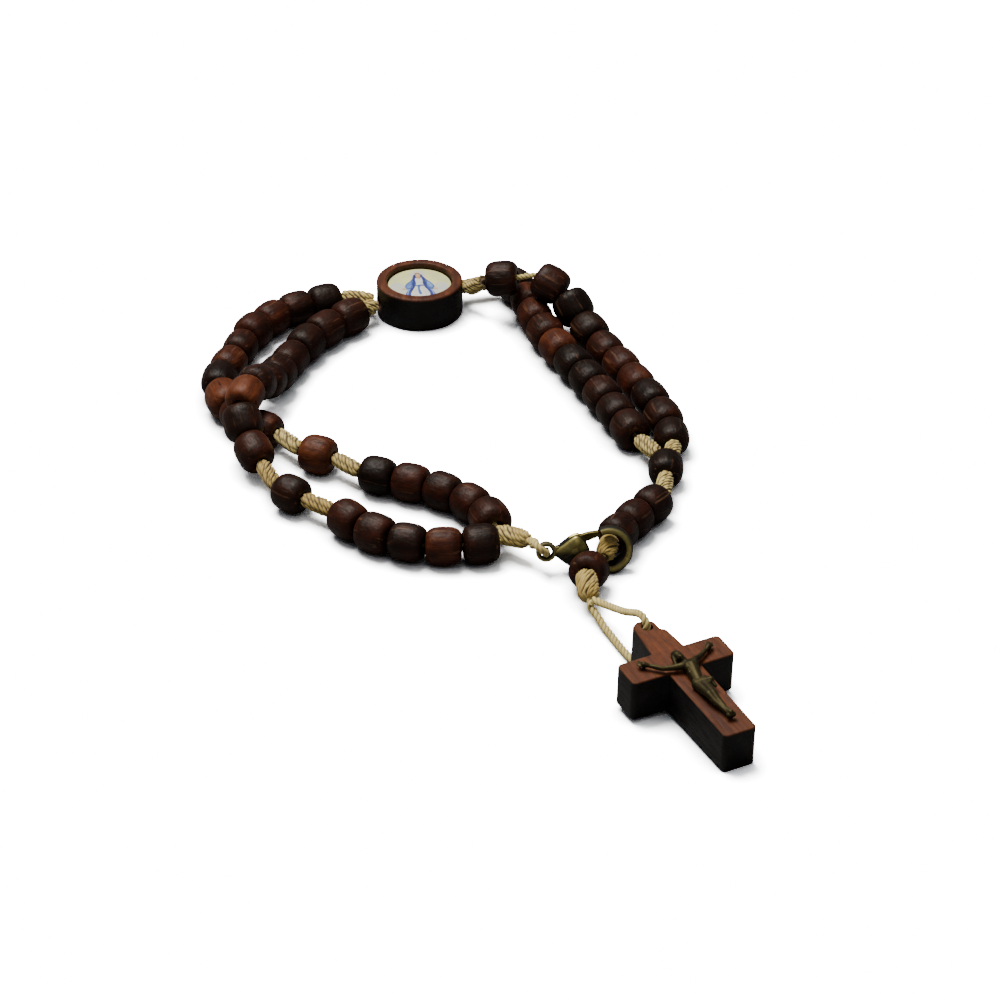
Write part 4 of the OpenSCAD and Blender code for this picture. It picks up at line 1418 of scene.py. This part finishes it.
@dataclass
class Crucifix:
    """The wooden cross and the cast figure, in the cross's own frame.

    The frame starts at the foot's end, with +Y to the head and +Z out of the front.
    """

    place: Point = (39.0, -66.1, 0.0)
    turn: float = 27.3
    lift: float = 2.6
    length: float = 28.0
    span: float = 16.4
    width: float = 5.2
    bar_width: float = 5.0
    thickness: float = 6.4
    arm_y: float = 15.5
    hole: Flat = (0.0, 26.3)
    hole_d: float = 1.7
    corner: float = 0.75
    limb_step: float = 0.16
    figure_lift: float = 0.42
    figure_back: float = 0.04
    voxel: float = 0.085

    def matrix(self) -> Matrix:
        """The cross's frame in the part's frame, in millimetres."""
        turn, lift = math.radians(self.turn), math.radians(self.lift)
        turned = Matrix.Rotation(turn, 4, "Z") @ Matrix.Rotation(lift, 4, "X")
        return Matrix.Translation(self.place) @ turned

    def placed(self, points: Iterable[Sequence[float]]) -> np.ndarray:
        """Points of the cross's frame, in the part's frame."""
        made = np.array(self.matrix())
        return np.asarray(list(points), float) @ made[:3, :3].T + made[:3, 3]

    def outline(self) -> List[Flat]:
        """The cross from the front, with its worn head."""
        w, s, top = self.width / 2, self.span / 2, self.arm_y + self.bar_width
        return [(-w, 0), (w, 0), (w, self.arm_y), (s, self.arm_y), (s, top), (w, top),
                (w - 0.4, self.length - 3.1), (w - 1.1, self.length - 2.7), (w - 1.1, self.length - 0.9),
                (w - 1.9, self.length - 0.1), (1.8 - w, self.length), (0.7 - w, self.length - 0.7),
                (-w, top), (-s, top), (-s, self.arm_y), (-w, self.arm_y)]

    def rounded(self, corners: Sequence[Flat], inset: float) -> List[Flat]:
        """The outline with round corners, set in by this much.

        Args:
            corners: the sharp corners, anticlockwise.
            inset: how far the outline is set in.
        Returns:
            The points, the same number for each inset.
        """
        made = []
        count = len(corners)
        for k in range(count):
            before, here, after = (np.array(corners[(k + j) % count], float) for j in (-1, 0, 1))
            back, ahead = before - here, after - here
            room = 0.45 * min(np.linalg.norm(back), np.linalg.norm(ahead))
            back, ahead = back / np.linalg.norm(back), ahead / np.linalg.norm(ahead)
            inward = back + ahead
            turn = back[0] * ahead[1] - back[1] * ahead[0]
            radius = self.corner if turn < 0 else 0.12
            half = math.acos(max(-1.0, min(1.0, float(back @ ahead)))) / 2
            length = min(radius / math.tan(half), room)
            radius = length * math.tan(half)
            centre = here + inward / np.linalg.norm(inward) * radius / math.sin(half)
            start, stop = here + back * length - centre, here + ahead * length - centre
            sign = -1.0 if turn > 0 else 1.0
            for t in np.linspace(0, 1, 6):
                spoke = start * (1 - t) + stop * t
                spoke /= np.linalg.norm(spoke)
                made.append(tuple(centre + spoke * (radius - sign * inset)))
        return made

    def build_wood(self, wood: bpy.types.Material) -> None:
        """Builds the cross with eased edges and its drilled head."""
        corners, top = self.outline(), self.thickness
        builder = MeshBuilder()
        rings = []
        for z, inset in ((0.0, 0.25), (0.08, 0.08), (0.25, 0.0), (top - 0.3, 0.0), (top - 0.1, 0.04),
                         (top, 0.17)):
            rings.append(self.placed([(x, y, z) for x, y in self.rounded(corners, inset)]))
        builder.grid(np.array(rings))
        made = builder.build("cross_wood", [wood])
        tool = MeshBuilder()
        tool.tube(self.placed([(*self.hole, z) for z in (-1.0, 3.0, 8.0)]), self.hole_d / 2, 40)
        made = cut(made, tool.build("tool", [wood]))
        inverse = np.linalg.inv(np.array(self.matrix()))
        flat = np.array([vert.co for vert in made.data.vertices]) / MM
        local = (flat @ inverse[:3, :3].T + inverse[:3, 3]).astype(np.float32)
        made.data.attributes["grain_place"].data.foreach_set("vector", local[:, [0, 2, 1]].ravel())
        burn = np.clip((top - 0.02 - local[:, 2]) / 0.2, 0.0, 1.0)
        made.data.attributes["tone"].data.foreach_set("value", burn.astype(np.float32))
        made.data.polygons.foreach_set("use_smooth", [True] * len(made.data.polygons))
        hand_in(cleaned(made, 32.0), Slot.CROSS, Body.BRACELET, "cross")

    def limb(self, work: bmesh.types.BMesh, a: Point, b: Point, ra: float, rb: float) -> None:
        """Adds a rounded limb between two places to the rough figure."""
        start, end = Vector(a), Vector(b)
        steps = max(2, int((end - start).length / self.limb_step))
        for i in range(steps + 1):
            radius = ra + (rb - ra) * i / steps
            size = Matrix.Diagonal((radius, radius, radius, 1.0))
            where = Matrix.Translation(start.lerp(end, i / steps)) @ size
            bmesh.ops.create_icosphere(work, subdivisions=2, radius=1.0, matrix=where)

    def hand_rows(self) -> List[Limb]:
        """The five fingers of each hand."""
        rows = []
        for side, hand in ((-1, (-5.25, 18.1, 0.4)), (1, (5.05, 17.85, 0.4))):
            x, y, z = hand
            for spread in (-0.6, -0.3, 0.0, 0.3, 0.6):
                across = side * (0.75 - 0.5 * abs(spread)) + 0.25 * spread
                rows.append((hand, (x + across, y + 0.4 - side * spread * 0.9, z - 0.1), 0.22, 0.15))
        return rows

    def rib_rows(self) -> List[Limb]:
        """Three ribs on each side."""
        rows = []
        for k in range(3):
            drop, top = 0.42 * k, 1.1 - 0.06 * k
            for x, reach, slant, high in ((-0.6, 0.5, -0.1, 14.0), (1.1, -0.5, -0.12, 14.1)):
                lift = 0.15 if reach > 0 else 0.1
                start, end = x + slant * k, x + reach + slant * k
                rows.append(((start, high - drop, 0.95), (end, high + lift - drop, top), 0.1, 0.1))
        return rows

    def figure_rows(self) -> List[Limb]:
        """The limbs, folds and locks of the cast figure."""
        rows = [
            ((0.4, 14.5, 0.45), (0.1, 13.2, 0.45), 1.1, 1.0),
            ((0.1, 13.2, 0.42), (-0.25, 11.4, 0.35), 0.98, 0.86),
            ((-0.7, 15.25, 0.5), (1.45, 15.5, 0.5), 0.6, 0.62),
            ((-0.2, 14.6, 0.85), (-0.3, 14.2, 0.85), 0.58, 0.58),
            ((0.95, 14.75, 0.85), (0.85, 14.4, 0.85), 0.58, 0.58),
            ((-0.75, 10.9, 0.35), (0.5, 10.9, 0.4), 0.82, 0.85),
            ((-0.95, 11.4, 0.6), (0.7, 11.3, 0.7), 0.38, 0.46),
            ((-0.95, 10.8, 0.8), (0.8, 10.6, 0.85), 0.34, 0.42),
            ((-0.8, 10.2, 0.8), (0.6, 10.0, 0.85), 0.34, 0.38),
            ((0.95, 10.9, 0.8), (1.15, 10.5, 0.9), 0.44, 0.5),
            ((1.1, 10.4, 0.8), (1.3, 9.4, 0.5), 0.4, 0.26),
            ((-0.65, 10.2, 0.4), (-0.8, 7.6, 1.0), 0.78, 0.58),
            ((0.25, 10.2, 0.4), (-0.2, 7.6, 1.0), 0.78, 0.58),
            ((-0.8, 7.6, 1.0), (-0.6, 6.3, 0.65), 0.58, 0.52),
            ((-0.6, 6.3, 0.65), (-0.25, 4.8, 0.45), 0.52, 0.36),
            ((-0.2, 7.6, 1.0), (-0.12, 6.3, 0.7), 0.58, 0.52),
            ((-0.12, 6.3, 0.7), (0.0, 4.7, 0.55), 0.52, 0.36),
            ((-0.25, 4.8, 0.45), (-0.12, 3.4, 0.5), 0.4, 0.38),
            ((0.0, 4.7, 0.45), (0.12, 3.2, 0.75), 0.4, 0.38),
            ((-0.25, 3.1, 0.35), (0.4, 3.0, 0.4), 0.42, 0.42),
            ((-0.85, 15.3, 0.5), (-2.0, 15.65, 0.38), 0.54, 0.46),
            ((-2.0, 15.65, 0.38), (-3.2, 16.1, 0.3), 0.46, 0.36),
            ((-3.2, 16.1, 0.3), (-3.9, 16.8, 0.3), 0.38, 0.38),
            ((-3.9, 16.8, 0.3), (-4.75, 17.65, 0.32), 0.38, 0.26),
            ((-4.75, 17.65, 0.32), (-5.2, 18.0, 0.38), 0.34, 0.44),
            ((1.6, 15.7, 0.5), (2.4, 16.1, 0.38), 0.54, 0.46),
            ((2.4, 16.1, 0.38), (3.2, 16.6, 0.3), 0.46, 0.36),
            ((3.2, 16.6, 0.3), (3.8, 17.0, 0.3), 0.38, 0.38),
            ((3.8, 17.0, 0.3), (4.5, 17.4, 0.32), 0.38, 0.26),
            ((4.5, 17.4, 0.32), (5.0, 17.75, 0.38), 0.34, 0.44),
            ((0.25, 15.4, 0.6), (-0.1, 16.1, 0.85), 0.48, 0.46),
            ((-0.35, 16.55, 1.0), (-0.4, 17.1, 1.0), 0.58, 0.66),
            ((-0.42, 17.35, 0.8), (-0.38, 17.55, 0.65), 0.78, 0.8),
            ((-1.0, 17.2, 0.8), (-1.25, 16.1, 0.55), 0.4, 0.26),
            ((0.15, 17.1, 0.7), (0.4, 16.0, 0.6), 0.4, 0.24),
            ((-0.33, 16.35, 1.35), (-0.3, 15.95, 1.2), 0.28, 0.15),
            ((-0.37, 16.96, 1.53), (-0.35, 16.7, 1.62), 0.09, 0.13),
            ((-0.62, 17.1, 1.47), (-0.22, 17.12, 1.47), 0.1, 0.1)]
        pins = [((x, y, 0.3), (x, y, -0.4), 0.24, 0.3) for x, y in ((-5.2, 18.0), (5.0, 17.75), (0.1, 3.1))]
        return rows + pins + self.hand_rows() + self.rib_rows()

    def build_figure(self, metal: bpy.types.Material) -> None:
        """Builds the cast figure as one closed skin, cut flat at its back."""
        work = bmesh.new()
        for row in self.figure_rows():
            self.limb(work, *row)
        mesh = bpy.data.meshes.new("rough")
        work.transform(Matrix.Translation((0, 0, self.thickness + self.figure_lift)))
        for vert in work.verts:
            vert.co.z = max(vert.co.z, self.thickness + self.figure_back)
        work.transform(Matrix.Diagonal((MM, MM, MM, 1.0)) @ self.matrix())
        work.to_mesh(mesh)
        work.free()
        mesh.materials.append(metal)
        made = bpy.data.objects.new("corpus_cast", mesh)
        bpy.context.scene.collection.objects.link(made)
        remesh = made.modifiers.new("skin", "REMESH")
        remesh.mode = "VOXEL"
        remesh.voxel_size = self.voxel * MM
        smooth = made.modifiers.new("soften", "SMOOTH")
        smooth.factor = 0.5
        smooth.iterations = 3
        applied(made)
        made.data.polygons.foreach_set("use_smooth", [True] * len(made.data.polygons))
        if not made.data.materials:
            made.data.materials.append(metal)
        hand_in(made, Slot.METAL, Body.BRACELET, "corpus")


# Scene


@dataclass
class Studio:
    """The camera, the pale floor with painted contact shadows, and the soft lights."""

    target: Point = (6.3, 1.9, 0.0)
    distance: float = 560.0
    elevation: float = 32.73
    lens: float = 132.2
    floor_size: float = 4.0
    floor_z: float = -0.03
    floor_seen: Colour = (18.0, 19.0, 20.7, 1.0)
    painted_shadow_colour: Colour = (0.02, 0.02, 0.02, 1.0)
    floor_bounce: Colour = (0.2, 0.2, 0.2, 1.0)
    painted_shadow_reach: float = 4.4
    painted_shadow_power: float = 2.6
    room: float = 0.1
    light_tint: Tuple[float, float, float] = (1.0, 0.95, 0.87)

    def build_camera(self) -> None:
        """Makes the camera at the photograph's viewing angle."""
        data = bpy.data.cameras.new("camera")
        data.lens = self.lens
        data.sensor_width = 36.0
        data.clip_start, data.clip_end = 0.01, 20.0
        camera = bpy.data.objects.new("camera", data)
        rise = math.radians(self.elevation)
        back = Vector((0.0, -math.cos(rise), math.sin(rise)))
        camera.location = (Vector(self.target) + back * self.distance) * MM
        camera.rotation_euler = (math.radians(90.0 - self.elevation), 0.0, 0.0)
        bpy.context.scene.collection.objects.link(camera)
        bpy.context.scene.camera = camera

    def light(self, name: str, place: Point, size: float, power: float) -> None:
        """Adds a square soft light that points at the bracelet."""
        data = bpy.data.lights.new(name, "AREA")
        data.color = self.light_tint
        data.energy = power
        data.size = size
        lamp = bpy.data.objects.new(name, data)
        lamp.location = place
        lamp.rotation_euler = (Vector((0.0, 0.0, 0.0)) - Vector(place)).to_track_quat("-Z", "Y").to_euler()
        bpy.context.scene.collection.objects.link(lamp)

    def build_surroundings(self) -> None:
        """Makes the floor with its painted contact shadows, the lights and the even light of the room."""
        half = self.floor_size / 2 / MM
        made, nodes, shader = material("floor")
        matte = nodes.add("ShaderNodeBsdfDiffuse")
        seen = nodes.add("ShaderNodeLightPath").outputs["Is Camera Ray"]
        # Painted contact shadow: an ambient occlusion mask darkens the floor that the camera sees close to
        # the pieces.
        contact_shadow = nodes.add("ShaderNodeAmbientOcclusion")
        contact_shadow.samples = 12
        contact_shadow.inputs["Distance"].default_value = self.painted_shadow_reach * MM
        shadow_mix = nodes.math("POWER", contact_shadow.outputs["AO"], self.painted_shadow_power)
        floor_with_shadow = nodes.mix(shadow_mix, self.painted_shadow_colour, self.floor_seen)
        nodes.put(matte.inputs["Color"], nodes.mix(seen, self.floor_bounce, floor_with_shadow))
        nodes.put(made.node_tree.nodes["Material Output"].inputs["Surface"], matte.outputs[0])
        made.node_tree.nodes.remove(shader)
        corners = [(x * half, y * half, self.floor_z) for x, y in ((-1, -1), (1, -1), (1, 1), (-1, 1))]
        mesh_object("floor", corners, [[0, 1, 2, 3]], [made], smooth=False)
        self.light("key", (-0.2, 0.22, 0.8), 0.45, 13.0)
        self.light("front", (0.25, -0.75, 0.75), 0.5, 1.2)
        world = bpy.data.worlds.new("room")
        world.use_nodes = True
        background = world.node_tree.nodes["Background"]
        background.inputs["Color"].default_value = (1.0, 1.0, 1.0, 1.0)
        background.inputs["Strength"].default_value = self.room
        bpy.context.scene.world = world


def main() -> None:
    """Builds the bracelet piece by piece, between the camera and the room."""
    logging.basicConfig(level=logging.INFO, format="%(message)s")
    oiled_dark = (rgb(56, 27, 15), rgb(88, 45, 25), rgb(112, 63, 37))
    oiled_red = (rgb(78, 37, 14), rgb(112, 57, 18), rgb(138, 77, 29))
    studio = Studio()
    studio.build_camera()
    strand = TwistedCord().make()
    CrossCord().build(strand)
    bead_wood = BeadWood().make()
    beads = Beads("loop_beads", "loop_beads_turned").build(bead_wood)
    beads += Beads("tail_beads", "tail_beads_turned").build(bead_wood)
    knots = turned_solids("knots")
    cords = WoundKnots()
    cords.build(knots, strand)
    cords.build_strands(beads + knots, strand)
    clasp = Clasp()
    brass = AgedBrass("antique_brass", rgb(206, 194, 122), rgb(122, 114, 64)).make()
    clasp.build_body(brass)
    # The lever gets a darker copy of the brass, which is painted shade on its face.
    clasp.build_lever(AgedBrass("lever_brass_shaded", rgb(112, 102, 60), rgb(70, 64, 36)).make())
    clasp.build_tie(strand)
    medal = Medal()
    medal.build_frame(FaceWood("medal_wood", *oiled_dark, 6.0).make())
    medal.build_picture()
    crucifix = Crucifix()
    crucifix.build_wood(FaceWood("cross_wood", *oiled_red).make())
    bronze = AgedBrass("cast_bronze", rgb(80, 73, 49), rgb(46, 42, 30), rough=0.54, bump=0.7)
    crucifix.build_figure(bronze.make())
    studio.build_surroundings()


if __name__ == "__main__":
    main()
